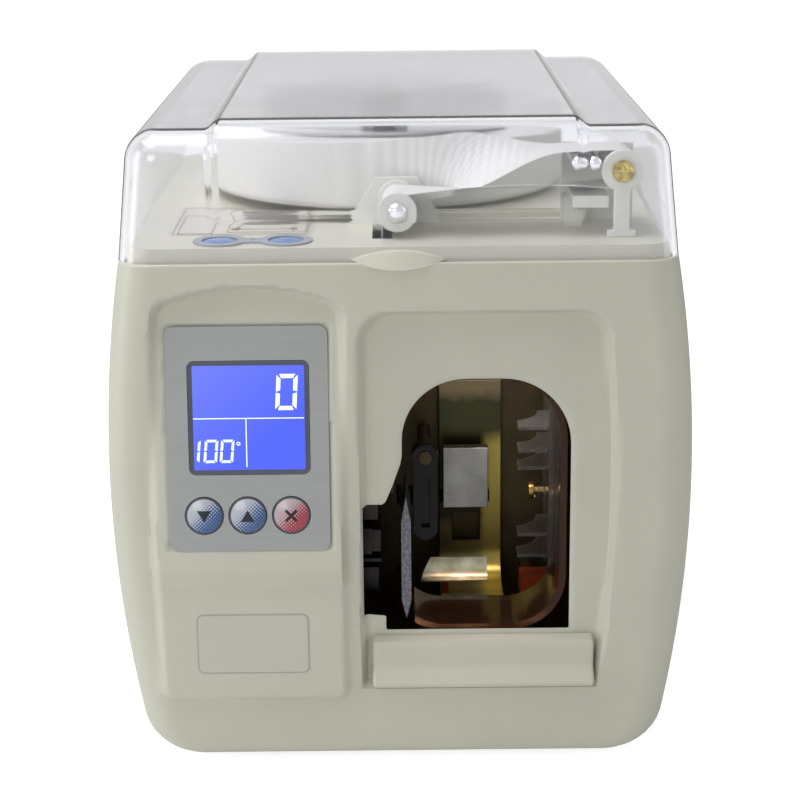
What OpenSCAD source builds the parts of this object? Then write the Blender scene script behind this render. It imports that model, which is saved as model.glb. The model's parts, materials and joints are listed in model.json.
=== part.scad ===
// Desk-top machine that straps a bundle of banknotes with a loop of paper tape.
// Every separate piece is a module and a node of its own.
// Millimetres. X runs to the right seen from the front, Y to the back, Z up.
// The origin is on the ground under the middle of the whole machine.
// Modules draw in the frame of machine(): y = 0 is the flat front, z = 0 the underside of the cabinet.

/* [Cabinet] */
// Width at the widest point of the curved flanks
body_w = 250; // [242:1:270]
// Height of the cabinet up to the edge that the hood rests on
body_h = 220; // [218:1:230]
// Depth from the flat front to the flat back
body_d = 280; // [272:1:300]
// Radius of the curved flanks seen from the front
side_r = 565; // [500:5:800]
// Height of the widest point of the flanks
waist_z = 124; // [110:1:135]
// Radius of the upright corners
corner_r = 14; // [10:1:18]
// Radius of the two lower corners seen from the front
bottom_r = 19; // [12:1:21]
// Wall of the mouldings
wall = 2.5; // [2:0.1:3]
// Height of the rubber feet
foot_h = 4; // [3:0.5:8]
// Radius of the rubber feet
foot_r = 9; // [7:0.5:11]

/* [Control panel] */
// How far the lower end of the control panel stands out in front of the flat front
panel_proud = 7; // [5:0.5:9]
// How far the upper end of the control panel is sunk into the front
panel_sunk = 6; // [4:0.5:7]
// Middle of the control panel across the front
panel_x = -64; // [-66:1:-62]
// Width of the control panel plate
panel_w = 68; // [60:1:69]
// Length of the control panel plate
panel_l = 96; // [90:1:98]
// How far the middle of the control panel plate is below the top of the cabinet
panel_down = 75; // [74:1:76]
// Width of the display window
window_w = 51; // [44:1:56]
// Height of the display window
window_h = 48.5; // [40:0.5:50]
// Radius of a push button
button_r = 7.9; // [6:0.1:8.5]
// Distance between the middles of neighbouring push buttons
button_gap = 18.4; // [17.8:0.1:20]
// Travel of a push button
button_travel = 0.8; // [0.4:0.1:1]

/* [Note opening] */
// Depth of the sunk field around the note opening
recess_depth = 6; // [4:0.5:7]
// Left edge of the sunk field
recess_x = -16.5; // [-19:0.5:-16.5]
// How far the upper edge of the sunk field is below the top of the cabinet
recess_down = 21.7; // [20:0.1:24]
// Left edge of the upright part of the note opening
opening_x = 0.5; // [-1:0.5:2]
// Width of the upright part of the note opening
opening_w = 72; // [70:0.5:76]
// Lower edge of the note opening
opening_z = 55.5; // [54:0.5:58]
// How far the upper edge of the note opening is below the top of the cabinet
opening_down = 51.5; // [50:0.5:56]

/* [Tape and reel] */
// Width of the paper tape
tape_w = 29; // [24:1:29]
// Thickness that the tape is drawn with
tape_t = 0.3; // [0.2:0.05:0.4]
// Outer radius of the tape roll
roll_r = 84; // [60:1:88]
// Outer radius of the cardboard core
core_r = 28; // [26.5:0.5:32]
// Place of the reel across the machine
reel_x = -6; // [-10:1:0]
// Place of the reel behind the flat front
reel_y = 150; // [148:1:165]
// Radius of the smoked disc that holds the roll down
reel_disc_r = 58; // [40:1:66]

/* [Hood] */
// Height of the shoulders of the hood above the cabinet
hood_h = 54; // [52:1:70]
// Width of the raised field along the middle of the hood
ridge_w = 152; // [110:1:160]
// Height of the raised field above the shoulders
ridge_h = 4; // [2:0.5:8]
// Wall of the clear hood
hood_wall = 2.4; // [2:0.1:2.6]

/* [Sealing head] */
// Travel of the clamp, the heater and the cutter towards the anvil
ram_travel = 7; // [4:0.5:7.5]
// Travel of the anvil blade out of the strapped bundle
anvil_travel = 30; // [20:1:32]
// Travel of the adjustable note stop
stop_travel = 14; // [8:1:16]

/* [Hidden] */

// Fits and gaps
fit = 0.3;              // gap between neighbouring pieces
run_fit = 0.05;         // radial clearance of a shaft that turns in its bore
eps = 1;                // how far a cut runs past the face that it opens

// Colours
ivory = [0.79, 0.79, 0.72];
cream = [0.88, 0.87, 0.78];
white = [0.94, 0.94, 0.92];
smoke = [0.25, 0.2, 0.18, 0.6];
clear = [0.85, 0.87, 0.9, 0.35];
zinc = [0.72, 0.67, 0.45];
steel = [0.7, 0.7, 0.72];
dark = [0.16, 0.16, 0.17];

// Cabinet
flank_c = [body_w / 2 - side_r, waist_z];        // centre of the right-hand flank's arc, seen from the front
corner_in = side_r - bottom_r;
corner_c = [flank_c.x + sqrt(pow(corner_in, 2) - pow(waist_z - bottom_r, 2)), bottom_r];
deck_inset = wall + 1;                           // deck rim inside the cabinet's outline
deck_top = body_h + 6;
deck_low = body_h - 8;
shelf_w = 5.5;                                   // shelf inside the cabinet that carries the deck
base_w = 2 * (corner_c.x - fit);
base_margin = 8;
base_t = 1.8;
base_z = wall + base_t;                          // top of the base plate
foot_x = corner_c.x - foot_r;
foot_y = 32;
screw_r = 2;

// Rear
rear_inset = 10;                                 // edge of the rear opening inside the outline
rear_low = 14;
rear_top = body_h - 17;
rear_flange = 2.8;
rear_rim = 2;                                    // thickness of the flange behind the rear panel's edge
rear_screw_r = 1.5;
rear_screw_in = 14;                              // screws of the rear panel inside the outline
inlet_x = 62;
inlet_z = 60;                                    // middle of the inlet with its fuse drawer and switch
inlet_w = 27;
inlet_h = 46;
inlet_rim = 2.5;
inlet_deep = 22;
socket_z = inlet_z - 10;
rocker_z = inlet_z + 13;
rocker_w = 19;
rocker_r = 6.6;
rocker_tilt = 8;

// Hinge of the hood
hinge_r = 3.2;
hinge_y = body_d + hinge_r + 0.6;
hinge_z = body_h + 2;
hinge_pin_r = 1.5;
hood_gap = 0.2;
hinge_x = 58;                                    // inner end of each bracket
hinge_len = 30;
ear_w = 6;

front_y = -(hinge_y + hinge_r + panel_proud) / 2 + panel_proud;

// Display housing: its face is one sloping line above the chin and upright below it
face_top_z = body_h - 20;
panel_z = body_h - panel_down;                   // middle of the control panel plate
chin_z = panel_z - 57;
chin_low_z = chin_z - 10;
lower_proud = panel_proud / 2;
face_slope = (panel_sunk + panel_proud) / (face_top_z - chin_z);
panel_tilt = atan(face_slope);
bay_l = -105.5;                                  // left edge of the display housing at its widest
bay_r = -24;
bay_low = 27;
arch_r = 54;                                     // arched upper edge
arch_c = [panel_x + 2, body_h - 64.3];
plate_t = 1.3;
plate_seat = 1;
board_y = 9.4;                                   // front of the display board behind the panel's face
button_z = -32.6;                                 // buttons below the middle of the panel
window_up = 9.2;                                 // middle of the display above the middle of the panel
window_right = 0.5;
button_xs = [for (i = [-1, 0, 1]) i * button_gap - 0.8];
label_x = -88;
label_w = 47.4;
label_z = 40.5;
label_h = chin_low_z - 11 - label_z;
label_r = min(2.5, label_h / 3);

// Sunk field and note opening
recess_inset = 34;                               // its right edge lies this far inside the flank's arc
recess_low = 32;
recess_r = 13;
recess_top = body_h - recess_down;
opening_top = body_h - opening_down;
arch_l_r = 27;
arch_r_r = 29;
notch_z = 63;
notch_top = 113;
rest_x = -13;
rest_w = body_w / 2 - 42 - rest_x;                 // it ends inside the recess
rest_low = 32.5;
rest_proud = 5;

// Oval thumb boss on the front rim of the deck
boss_x = 0;
boss_z = body_h + 1;
boss_l = 39;
boss_r = 4;
boss_out = 2;                                    // how far it stands out of the flat front
boss_ball = 50;                                  // radius of its crown

// Tape path on the deck
tape_y = 22;                                     // front edge of the tape
tape_mid = tape_y + tape_w / 2;
tape_back = tape_y + tape_w;
roller_r = 6;
roller_flange = 8.3;
centre_x = -0.4;
centre_z = body_h + 17.2;
corner_x = body_w / 2 - 31.7;
corner_z = body_h + 33.9;
corner_roll_r = 7.6;
pin_r = 2;
tape_gap = fit + tape_t / 2;                     // middle of the tape off a roller's face
drop_x = centre_x - roller_r - tape_gap;         // the tape runs down here
platter_z = deck_top + 4.1;
platter_t = 1.8;
roll_z = platter_z + platter_t;
hub_r = core_r - 3.2;
spindle_r = 5;
disc_t = 2.2;
block_x = corner_x - 22.3;
block_w = 31;
block_y = tape_back + 7;
block_t = 5;
pad_x = 14;                                      // left edge of the raised field behind the guide block
table_z = body_h + 18;
table_t = 5;
guide_pin_r = 3;
guide_pin_z = corner_z + 3.2;
guide_pin_xs = [corner_x - 18.2, corner_x - 11.7];
key_y = 18;
key_xs = [-74.6, -46.9];
key_r = 7.2;
key_base_t = 0.8;
key_travel = 1;
key_low = deck_top - 1.2;                         // the caps stand in holes of the deck
key_stem_r = 3;
key_stem_l = 9;
key_shelf_z = key_low - 21;                      // top of the shelf under the key switches
key_shelf_t = 1.6;
key_shelf_d = 10;

// Works behind the note opening
track_x = -3;
track_w = 71.3;
track_z = opening_z + 1;
track_top = opening_top + 3.5;
track_t = 3;
track_y = 10;
track_d = 33;
track_low_r = 22;
track_up_r = 32;
track_gap_x = 5.5;                               // the track is open left of this for the sealing head
fin_zs = [74, 84, 115.5, 123.5, 134];
fin_t = 1.6;
frame_y = 96;
frame_t = 2;
frame_w = base_w - 2;
frame_top = body_h - 13;
frame_post_in = 6.6;                             // posts of the sealing head inside the frame's edge
bracket_x = 18;
bracket_w = 29;
bracket_y = 90;
bracket_t = 1.6;
bracket_top = 130;
bracket_bend = 14;
bracket_foot_y = 61;
bracket_low = 48.5;
stop_x = 19.6;
stop_w = 20.8;
stop_z = 87;
stop_h = 29;
stop_y = 77;
stop_t = 1.5;
stop_tail = 58;
blade_x = 2;
blade_w = 4.4;
blade_z = 58;
blade_h = 57;
blade_y = 12;
blade_d = 34;
arm_h = 6;
arm_z = 84;
finger_x = 11;
finger_w = 11;
finger_z = 81;
finger_top = 120;
finger_y = 50;
finger_d = 10;
finger_pin_r = 3;
sensor_at = [59, 75, 96];                        // left end of the plunger that feels the edge of the notes
sensor_l = 17;
sensor_head = 2.5;
plunger_r = 1.8;
spring_curls = 6;
spring_r = 3.2;
spring_wire = 0.4;
spring_rings = 8;
spring_len = sensor_l - sensor_head - 2 * spring_wire - 0.1;

// Sealing head
ram_y = tape_y + 2;
ram_d = 24;
ram_back_x = -60;
ram_tip_x = -9;
guide_x = -52;
guide_w = 20;
head_low = 50;
head_top = 121;
head_t = 2.5;
head_x = -100;
head_w = 76;
head_y = 14;
head_back = frame_y - 4;
shaft_x = -78;
shaft_y = ram_y + 16;
shaft_r = 3;
cam_throw = 3;
cam_r = ram_back_x - shaft_x - cam_throw - 0.5;
clamp_zs = [67, 100];
clamp_h = 11;
heater_z = 84;
heater_h = 12;
cutter_z = 80.5;
cutter_h = 1.6;
gear_t = 6;
gear_z = head_low - 3 - gear_t;
gear_module = 1;
gear_teeth = 48;
pinion_teeth = 16;
gear_centres = gear_module * (gear_teeth + pinion_teeth) / 2;
motor_y = shaft_y + gear_centres;
motor_r = gear_centres - cam_r - cam_throw - 1;
motor_h = 50;
motor_boss_r = 6;
motor_shaft_r = 2;

// Tape feed
feed_r = 8.8;
pinch_r = 7;
nip_z = body_h - 25;
feed_x = drop_x - tape_gap - feed_r;
pinch_x = drop_x + tape_gap + pinch_r;
pivot = [pinch_x + 12, nip_z + 9];
feed_side_x = -29.5;
feed_side_w = 53.5;
feed_low = nip_z - 19;
feed_top = nip_z + 19;
feed_t = 2;
feed_y = 14;
feed_back_y = 57;
feed_motor_r = 16;
feed_motor_l = 34;

// Boards and supply
board_t = 1.6;
board_x = 3.5 - base_w / 2;
board_y0 = 118;
unit_w = 62;
unit_x = base_w / 2 - 65.5;
board_w = unit_x - 18 - board_x;
board_d = 112;
board_z = base_z + 9;
unit_y = 130;
unit_d = 70;
unit_h = 46;

$fn = 48;

// ---- Helpers -----------------------------------------------------------

// From the ground under the machine's middle to the frame that the pieces are drawn in
module machine() {
    translate([0, front_y, foot_h]) children();
}

// Runs an outline drawn in x and z back from y over a length
module along_y(y, len) {
    translate([0, y + len, 0]) rotate([90, 0, 0]) linear_extrude(len) children();
}

// Runs an outline drawn in y and z to the right from x over a length
module along_x(x, len) {
    translate([x, 0, 0]) rotate([90, 0, 90]) linear_extrude(len) children();
}

module rod_y(x, z, r, y, len) {
    translate([x, y, z]) rotate([-90, 0, 0]) cylinder(r = r, h = len);
}

module rod_x(y, z, r, x, len) {
    translate([x, y, z]) rotate([0, 90, 0]) cylinder(r = r, h = len);
}

module rod_z(x, y, r, z, len) {
    translate([x, y, z]) cylinder(r = r, h = len);
}

module block(x, y, z, w, d, h) {
    translate([x, y, z]) cube([w, d, h]);
}

// Rectangle with round corners, from its lower left corner
module round_rect(x, z, w, h, r) {
    translate([x + r, z]) square([w - 2 * r, h]);
    translate([x, z + r]) square([w, h - 2 * r]);
    for (cx = [x + r, x + w - r], cz = [z + r, z + h - r]) translate([cx, cz]) circle(r);
}

// What a round corner of centre c takes off, between the directions d1 and d2
module corner_cut(c, r, d1, d2) {
    reach = 2 * r;
    difference() {
        polygon([c, c + reach * d1, c + reach * (d1 + d2), c + reach * d2]);
        translate(c) circle(r);
    }
}

// Box about the middle of the control panel: y = 0 on its face, growing to the back
module on_panel() {
    translate([panel_x, face_slope * (panel_z - chin_z) - panel_proud, panel_z])
        rotate([-panel_tilt, 0, 0]) children();
}

// ---- Cabinet -----------------------------------------------------------

function flank_x(inset, z) = flank_c.x + sqrt(pow(side_r - inset, 2) - pow(z - waist_z, 2));

// One curved flank, turned about an axis along Y, with the round upright corners
module flank(inset) {
    r = corner_r - inset;
    out = side_r - inset;
    in = side_r - body_w;
    translate([flank_c.x, 0, flank_c.y])
        rotate([-90, 0, 0])
            rotate_extrude($fn = 240) {
                translate([in, inset]) square([out - r - in, body_d - 2 * inset]);
                translate([in, inset + r]) square([out - in, body_d - 2 * (inset + r)]);
                for (y = [inset + r, body_d - inset - r]) translate([out - r, y]) circle(r);
            }
}

// Seen from the front: both flanks' arcs between two heights
module front_outline(inset, low, high) {
    intersection() {
        translate(flank_c) circle(side_r - inset, $fn = 240);
        mirror([1, 0]) translate(flank_c) circle(side_r - inset, $fn = 240);
        translate([-body_w, low]) square([2 * body_w, high - low]);
    }
}

module lower_corner_cut(inset) {
    out = (corner_c - flank_c) / corner_in;
    corner_cut(corner_c, bottom_r - inset, [0, -1], out);
}

// The cabinet's form between two heights, drawn in by an inset
module body_form(inset, low, high) {
    intersection() {
        flank(inset);
        mirror([1, 0, 0]) flank(inset);
        along_y(-body_d, 3 * body_d) difference() {
            translate([-body_w, low]) square([2 * body_w, high - low]);
            lower_corner_cut(inset);
            mirror([1, 0]) lower_corner_cut(inset);
        }
    }
}

// Outline of the display housing, seen from the front
module bay_outline(inset) {
    left = bay_l + inset;
    low = bay_low + inset;
    intersection() {
        polygon([
            [left + 1.7, low], [bay_r - inset, low], [bay_r - inset, body_h],
            [left + 3.5, body_h], [left + 3, body_h - 30], [left, chin_z + 12]
        ]);
        union() {
            translate(arch_c) circle(arch_r - inset, $fn = 96);
            translate([-body_w, 0]) square([2 * body_w, arch_c.y]);
        }
        difference() {
            translate([-body_w, 0]) square([2 * body_w, body_h]);
            corner_cut([left + 6.7, low + 5], 5, [-1, 0], [0, -1]);
            corner_cut([bay_r - inset - 5, low + 5], 5, [1, 0], [0, -1]);
        }
    }
}

// Seen from the side: the space in front of the display housing's face, moved back by a depth
module face_space(back) {
    top_y = face_slope * (body_h - chin_z) - panel_proud;
    polygon([
        [-4 * panel_proud, 0], [back - lower_proud, 0], [back - lower_proud, chin_low_z],
        [back - panel_proud, chin_z], [back + top_y, body_h], [-4 * panel_proud, body_h]
    ]);
}

// Outline of the sunk field round the note opening
module recess_outline(grow) {
    inset = recess_inset - grow;
    low = recess_low - grow;
    top = recess_top + grow;
    left = recess_x - grow;
    r = recess_r + grow;
    up = [flank_x(inset + r, top - r), top - r];
    difference() {
        intersection() {
            translate(flank_c) circle(side_r - inset, $fn = 240);
            translate([left, low]) square([body_w, top - low]);
        }
        corner_cut(up, r, [0, 1], (up - flank_c) / (side_r - inset - r));
        corner_cut([left + r, top - r], r, [-1, 0], [0, 1]);
    }
}

// Outline of the note opening with the notch for the sealing head
module opening_outline() {
    right = opening_x + opening_w;
    left_arch = [opening_x + arch_l_r, opening_top - arch_l_r];
    right_arch = [right - arch_r_r, opening_top - arch_r_r];
    translate(left_arch) circle(arch_l_r);
    translate(right_arch) circle(arch_r_r);
    polygon([
        [left_arch.x, opening_top], [opening_x, left_arch.y], [opening_x, notch_top + 22],
        [opening_x - 2, notch_top + 14.5], [opening_x - 7, notch_top + 1.5], [opening_x - 8.8, notch_top],
        [recess_x, notch_top], [recess_x, notch_z], [opening_x - 7.5, notch_z - 1],
        [opening_x - 7.5, opening_z], [right, opening_z], [right, right_arch.y], [right_arch.x, opening_top]
    ]);
}

module lens_outline(grow) {
    r = boss_r + grow;
    big = (pow(boss_l / 2, 2) + pow(boss_r, 2)) / (2 * boss_r) + grow;
    intersection() {
        translate([boss_x, boss_z - big + r]) circle(big, $fn = 180);
        translate([boss_x, boss_z + big - r]) circle(big, $fn = 180);
    }
}

module housing_shell() color(ivory) machine() {
    board_posts();
    difference() {
        union() {
            difference() {
                body_form(0, 0, body_h);
                body_form(wall, wall, body_h + eps);
            }
            along_y(-panel_proud, panel_proud + panel_sunk + 2 * wall) bay_outline(0);
            along_y(0, recess_depth + wall) recess_outline(wall);
            deck_shelf();
            rear_bosses();
        }
        intersection() {
            along_y(-2 * panel_proud, 60) bay_outline(0);
            along_x(-body_w, 2 * body_w) face_space(0);
        }
        difference() {
            along_y(-2 * panel_proud, 60) bay_outline(wall);
            along_x(-body_w, 2 * body_w) face_space(wall);
        }
        along_y(-eps, recess_depth + eps) recess_outline(0);
        along_y(-eps, recess_depth + wall + 2 * eps) opening_outline();
        along_y(-lower_proud - eps, eps + 0.8) round_rect(label_x, label_z, label_w, label_h, label_r);
        on_panel() {
            panel_slab(panel_w + 0.6, panel_l + 0.6, 4.3, -2, plate_seat + 2);
            window_place() panel_slab(window_w - 2, window_h - 2, 2, -2, 9);
            for (x = button_xs) rod_y(x, button_z, button_r + fit, -2, 9);
        }
        along_y(-5, wall + 6) lens_outline(fit);
        along_y(body_d - wall - eps, wall + 2 * eps) front_outline(rear_inset, rear_low, rear_top);
        block(-base_w / 2 + 30, 50, -eps, base_w - 60, body_d - 100, wall + 2 * eps);
        foot_places() rod_z(0, 0, screw_r + fit, -eps, wall + 2 * eps);
        rear_screw_places() rod_y(0, 0, rear_screw_r + run_fit, body_d - 2 * wall - 9, 20);
    }
}

// Posts behind the control panel that carry the display board
module board_posts() {
    on_panel() board_holes() {
        rod_y(0, 0, 2.8, wall - 0.3, board_y - wall + 0.3);
        rod_y(0, 0, 1.3, board_y - eps, board_t + 2 * eps);
    }
}

module board_holes() {
    for (x = [-1, 1], z = [-1, 1]) translate([x * (panel_w / 2 - 4), 0, z * (panel_l / 2 - 7)]) children();
}

// Bosses on the side walls that take the rear panel's screws
module rear_bosses() {
    back = body_d - 2 * wall - rear_rim;
    intersection() {
        body_form(wall / 2, wall, body_h);
        rear_screw_places() {
            rod_y(0, 0, 3.5, back - 10, 10);
            block($side > 0 ? 0 : -30, back - 10, -1.5, 30, 10, 3);
        }
    }
}

// Shelf round the inside that the deck's skirt stands on
module deck_shelf() {
    difference() {
        body_form(wall / 2, deck_low - wall, deck_low);
        body_form(wall + shelf_w, deck_low - wall - eps, deck_low + eps);
    }
}

// Prism with round corners about the middle of the control panel, from depth y over a length
module panel_slab(w, h, r, y, len) {
    along_y(y, len) round_rect(-w / 2, -h / 2, w, h, r);
}

module foot_places() {
    for (x = [-foot_x, foot_x], y = [foot_y, body_d - foot_y]) translate([x, y, 0]) children();
}

module rear_panel() color(ivory) machine() {
    back = body_d - wall;
    rim_y = back - wall - rear_rim;
    edge = rear_inset + fit;
    difference() {
        union() {
            difference() {
                union() {
                    along_y(back - wall, 2 * wall) front_outline(edge, rear_low + fit, rear_top - fit);
                    along_y(rim_y, rear_rim)
                        front_outline(rear_inset - rear_flange, rear_low - rear_flange, rear_top + rear_flange);
                }
                along_y(rim_y - eps, back - rim_y + eps)
                    front_outline(edge + wall, rear_low + fit + wall, rear_top - fit - wall);
            }
            rear_screw_places() rod_y(0, 0, 3.5, rim_y, back - rim_y + wall / 2);
        }
        block(inlet_x - inlet_w / 2, back - 2 * wall, inlet_z - inlet_h / 2, inlet_w, 4 * wall, inlet_h);
        for (i = [0 : 7]) block(-80, back - 2 * wall, 60 + 12 * i, 70, 4 * wall, 4);
        rear_screw_places() rod_y(0, 0, rear_screw_r + fit, rim_y - eps, 4 * wall);
    }
}

module rear_screw_places() {
    for ($side = [-1, 1], z = [rear_low + 10, waist_z, rear_top - 10])
        translate([$side * flank_x(rear_screw_in, z), 0, z]) children();
}

module base_plate() color(steel) machine() {
    difference() {
        union() {
            block(-base_w / 2, base_margin, wall, base_w, body_d - 2 * base_margin - 10, base_t);
            for (x = [board_x + 6, board_x + board_w - 6], y = [board_y0 + 6, board_y0 + board_d - 6])
                rod_z(x, y, 3, wall, board_z - wall);
        }
        foot_places() rod_z(0, 0, screw_r + fit, 0, 3 * base_z);
    }
}

module rubber_feet() color(dark) machine() {
    foot_places() difference() {
        rod_z(0, 0, foot_r, -foot_h, foot_h);
        rod_z(0, 0, screw_r, -foot_h - eps, foot_h + 2 * eps);
        rod_z(0, 0, 2 * screw_r, -foot_h - eps, foot_h - 1);
    }
}

module case_screws() color(steel) machine() {
    foot_places() {
        rod_z(0, 0, screw_r - run_fit, -foot_h + 2, base_z + foot_h);
        rod_z(0, 0, 2 * screw_r - fit, -foot_h + 0.4, 1.6);
    }
    rear_screw_places() {
        rod_y(0, 0, rear_screw_r, body_d - 2 * wall - 7, 2 * wall + 7);
        difference() {
            rod_y(0, 0, 3, body_d, 1.4);
            block(-2.2, body_d + 0.7, -0.35, 4.4, 2, 0.7);
            block(-0.35, body_d + 0.7, -2.2, 0.7, 2, 4.4);
        }
    }
}

module deck_slot(grow) {
    block(drop_x - 4.2 - grow, tape_y - 1, body_h - 20, 8.4 + 2 * grow, tape_w + 2, 40);
}

module top_deck() color(cream) machine() {
    difference() {
        union() {
            body_form(deck_inset, deck_low, deck_top);
            block(pad_x, block_y + 8, deck_top - eps, corner_x + 8.7 - pad_x, 60, 3.4);
            intersection() {
                along_y(-boss_out - eps, boss_out + wall + 4) lens_outline(0);
                translate([boss_x, boss_ball - boss_out, boss_z]) sphere(r = boss_ball, $fn = 180);
            }
        }
        difference() {
            body_form(deck_inset + wall, deck_low - eps, deck_top - wall);
            for (x = [feed_side_x + 5, feed_side_x + feed_side_w - 5], y = [feed_y + 4, feed_back_y - 2])
                rod_z(x, y, 4, feed_top + feed_t, body_h);
            rod_z(reel_x, reel_y, 12, deck_top - 8, 20);
        }
        deck_slot(0);
        for (x = key_xs) rod_z(x, key_y, key_r + fit, deck_top - wall - eps, wall + 2 * eps);
        rod_z(reel_x, reel_y, spindle_r, deck_top - 6, 20);
    }
    low = key_shelf_z - key_shelf_t;
    block(key_xs[0] - 9, key_y - key_shelf_d / 2, low, key_xs[1] - key_xs[0] + 18, key_shelf_d, key_shelf_t);
    rod_z((key_xs[0] + key_xs[1]) / 2, key_y, 3, low, deck_top - wall / 2 - low);
}

module note_rest() color(ivory) machine() {
    difference() {
        along_x(rest_x, rest_w) polygon([
            [recess_depth, opening_z - 1.3], [1.2, opening_z - 3.3], [0, opening_z - 4.6],
            [0, opening_z - 15.3], [-rest_proud + 0.5, rest_low + 3.2], [-rest_proud, rest_low + 2],
            [-rest_proud, rest_low], [recess_depth, rest_low]
        ]);
        along_x(rest_x + wall, rest_w - 2 * wall) polygon([
            [recess_depth + eps, opening_z - 5.5], [wall, opening_z - 6.5],
            [wall, rest_low + wall], [recess_depth + eps, rest_low + wall]
        ]);
    }
}

// ---- Hood --------------------------------------------------------------

// Closed form of the hood's shoulders, drawn in by an inset
module hood_body(inset) {
    foot = flank_x(0, body_h);
    top_r = corner_r;
    lean = 4;
    side = foot - 5.3;
    low = body_h + (inset > 0 ? -eps : hood_gap);
    hull() {
        for (x = [-1, 1], y = [corner_r, body_d - corner_r])
            translate([x * (foot - corner_r), y, low]) cylinder(r = corner_r - inset, h = 0.1, $fn = 32);
        for (x = [-1, 1], y = [lean + top_r, body_d - lean - top_r])
            translate([x * (side - top_r), y, body_h + hood_h - top_r]) sphere(r = top_r - inset, $fn = 32);
    }
}

// Closed form of the raised field that runs over the middle and down the front
module hood_ridge(inset) {
    r = 6;
    top = body_h + hood_h + ridge_h - r;
    low = body_h + 24;
    hull()
        for (x = [-1, 1], p = [[r, low], [r + 3.5, top], [body_d - r - 3.5, top], [body_d - r - 2, low]])
            translate([x * (ridge_w / 2 - r), p[0], p[1]]) sphere(r = r - inset, $fn = 32);
}

module hood() color(clear) machine() {
    difference() {
        union() {
            hood_body(0);
            hood_ridge(0);
            for (s = [-1, 1]) hinge_side(s) hood_knuckle();
        }
        hood_body(hood_wall);
        hood_ridge(hood_wall);
        along_y(-5, 15) lens_outline(fit);
        rod_x(hinge_y, hinge_z, hinge_pin_r + run_fit, -body_w, 2 * body_w);
    }
}

// Places one side's hinge, mirrored for the left
module hinge_side(s) {
    if (s > 0) children();
    else mirror([1, 0, 0]) children();
}

module hood_knuckle() {
    x = hinge_x + ear_w + fit;
    w = hinge_len - 2 * (ear_w + fit);
    rod_x(hinge_y, hinge_z, hinge_r, x, w);
    block(x, body_d - hood_wall + 0.4, hinge_z, w, hinge_y - body_d + hood_wall - 0.4, hinge_r);
}

// Brackets on the cabinet's back with the riveted pins that the hood turns on
module hinge_brackets() color(steel) machine() {
    plate_z = body_h - 13;
    for (s = [-1, 1]) hinge_side(s) {
        rod_x(hinge_y, hinge_z, hinge_pin_r, hinge_x, hinge_len);
        union() {
            block(hinge_x, body_d, plate_z, hinge_len, 1.6, 11);
            for (x = [hinge_x, hinge_x + hinge_len - ear_w]) {
                rod_x(hinge_y, hinge_z, hinge_r, x, ear_w);
                along_x(x, ear_w) polygon([
                    [body_d, plate_z], [body_d + 1.6, plate_z], [hinge_y + hinge_r, hinge_z - 4],
                    [hinge_y + hinge_r, hinge_z], [hinge_y - hinge_r, hinge_z], [hinge_y - hinge_r, body_h - 2],
                    [body_d, body_h - 2]
                ]);
            }
        }
    }
}

// ---- Control panel -----------------------------------------------------

module control_panel() color([0.56, 0.57, 0.58]) machine() on_panel() {
    difference() {
        panel_slab(panel_w, panel_l, 4, plate_seat - plate_t, plate_t);
        window_place() panel_slab(window_w + 0.2, window_h + 0.2, 3.1, -2, 5);
        for (x = button_xs) rod_y(x, button_z, button_r + fit, -2, 5);
    }
}

module window_place() {
    translate([window_right, 0, window_up]) children();
}

module display_window() color([0.25, 0.28, 0.4, 0.8]) machine() on_panel() window_place() {
    panel_slab(window_w, window_h, 3, plate_seat - plate_t, plate_t);
}

module display_module() color([0.3, 0.4, 0.95]) machine() on_panel() window_place() {
    block(-window_w / 2 + 2, wall + 0.6, -window_h / 2 + 2, window_w - 4, board_y - wall - 0.6, window_h - 4);
}

module display_board() color([0.1, 0.35, 0.2]) machine() on_panel() {
    difference() {
        block(-panel_w / 2 + 1, board_y, -panel_l / 2 + 3, panel_w - 2, board_t, panel_l - 6);
        board_holes() rod_y(0, 0, 1.3 + fit, 0, 20);
    }
    block(-20, board_y + board_t, 6, 40, 5, 10);
    for (x = button_xs) {
        block(x - 3, board_y - 2.6, button_z - 3, 6, 2.6, 6);
        rod_y(x, button_z, 1.6, board_y - 3.4, 1);
    }
}

// Domed push button with a retaining flange behind the wall and a stem onto its switch
module push_button(i) {
    dome = 1.7;
    ball = (pow(button_r, 2) + pow(dome, 2)) / (2 * dome);
    translate([button_xs[i], 0, button_z]) {
        intersection() {
            rod_y(0, 0, button_r, -2.5, wall + 3.1);
            translate([0, ball - 2.1, 0]) sphere(r = ball, $fn = 96);
        }
        rod_y(0, 0, button_r + 0.8, wall + fit, 1);
        rod_y(0, 0, 2, wall, board_y - 3.4 - wall - button_travel - 0.1);
    }
}

module down_button() color([0.35, 0.42, 0.58]) machine() on_panel() push_button(0);
module up_button() color([0.35, 0.42, 0.58]) machine() on_panel() push_button(1);
module clear_button() color([0.68, 0.3, 0.36]) machine() on_panel() push_button(2);

// ---- Deck --------------------------------------------------------------

module key_base() color([0.55, 0.57, 0.6]) machine() {
    mid = (key_xs[0] + key_xs[1]) / 2;
    difference() {
        union() {
            for (x = key_xs) rod_z(x, key_y, key_r + 4, deck_top, key_base_t);
            block(key_xs[0], key_y - 4.5, deck_top, key_xs[1] - key_xs[0], 9, key_base_t);
        }
        for (x = key_xs) rod_z(x, key_y, key_r + fit, deck_top - eps, 5);
        rod_z(mid, key_y, 1.2, deck_top + key_base_t / 2, 5);
    }
}

module key_cap(x) {
    dome = 1;
    ball = (pow(key_r, 2) + pow(dome, 2)) / (2 * dome);
    intersection() {
        rod_z(x, key_y, key_r, key_low, 3);
        translate([x, key_y, key_low + 2.4 - ball]) sphere(r = ball, $fn = 96);
    }
    rod_z(x, key_y, key_stem_r, key_low - key_stem_l, key_stem_l + 0.5);
}

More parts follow.
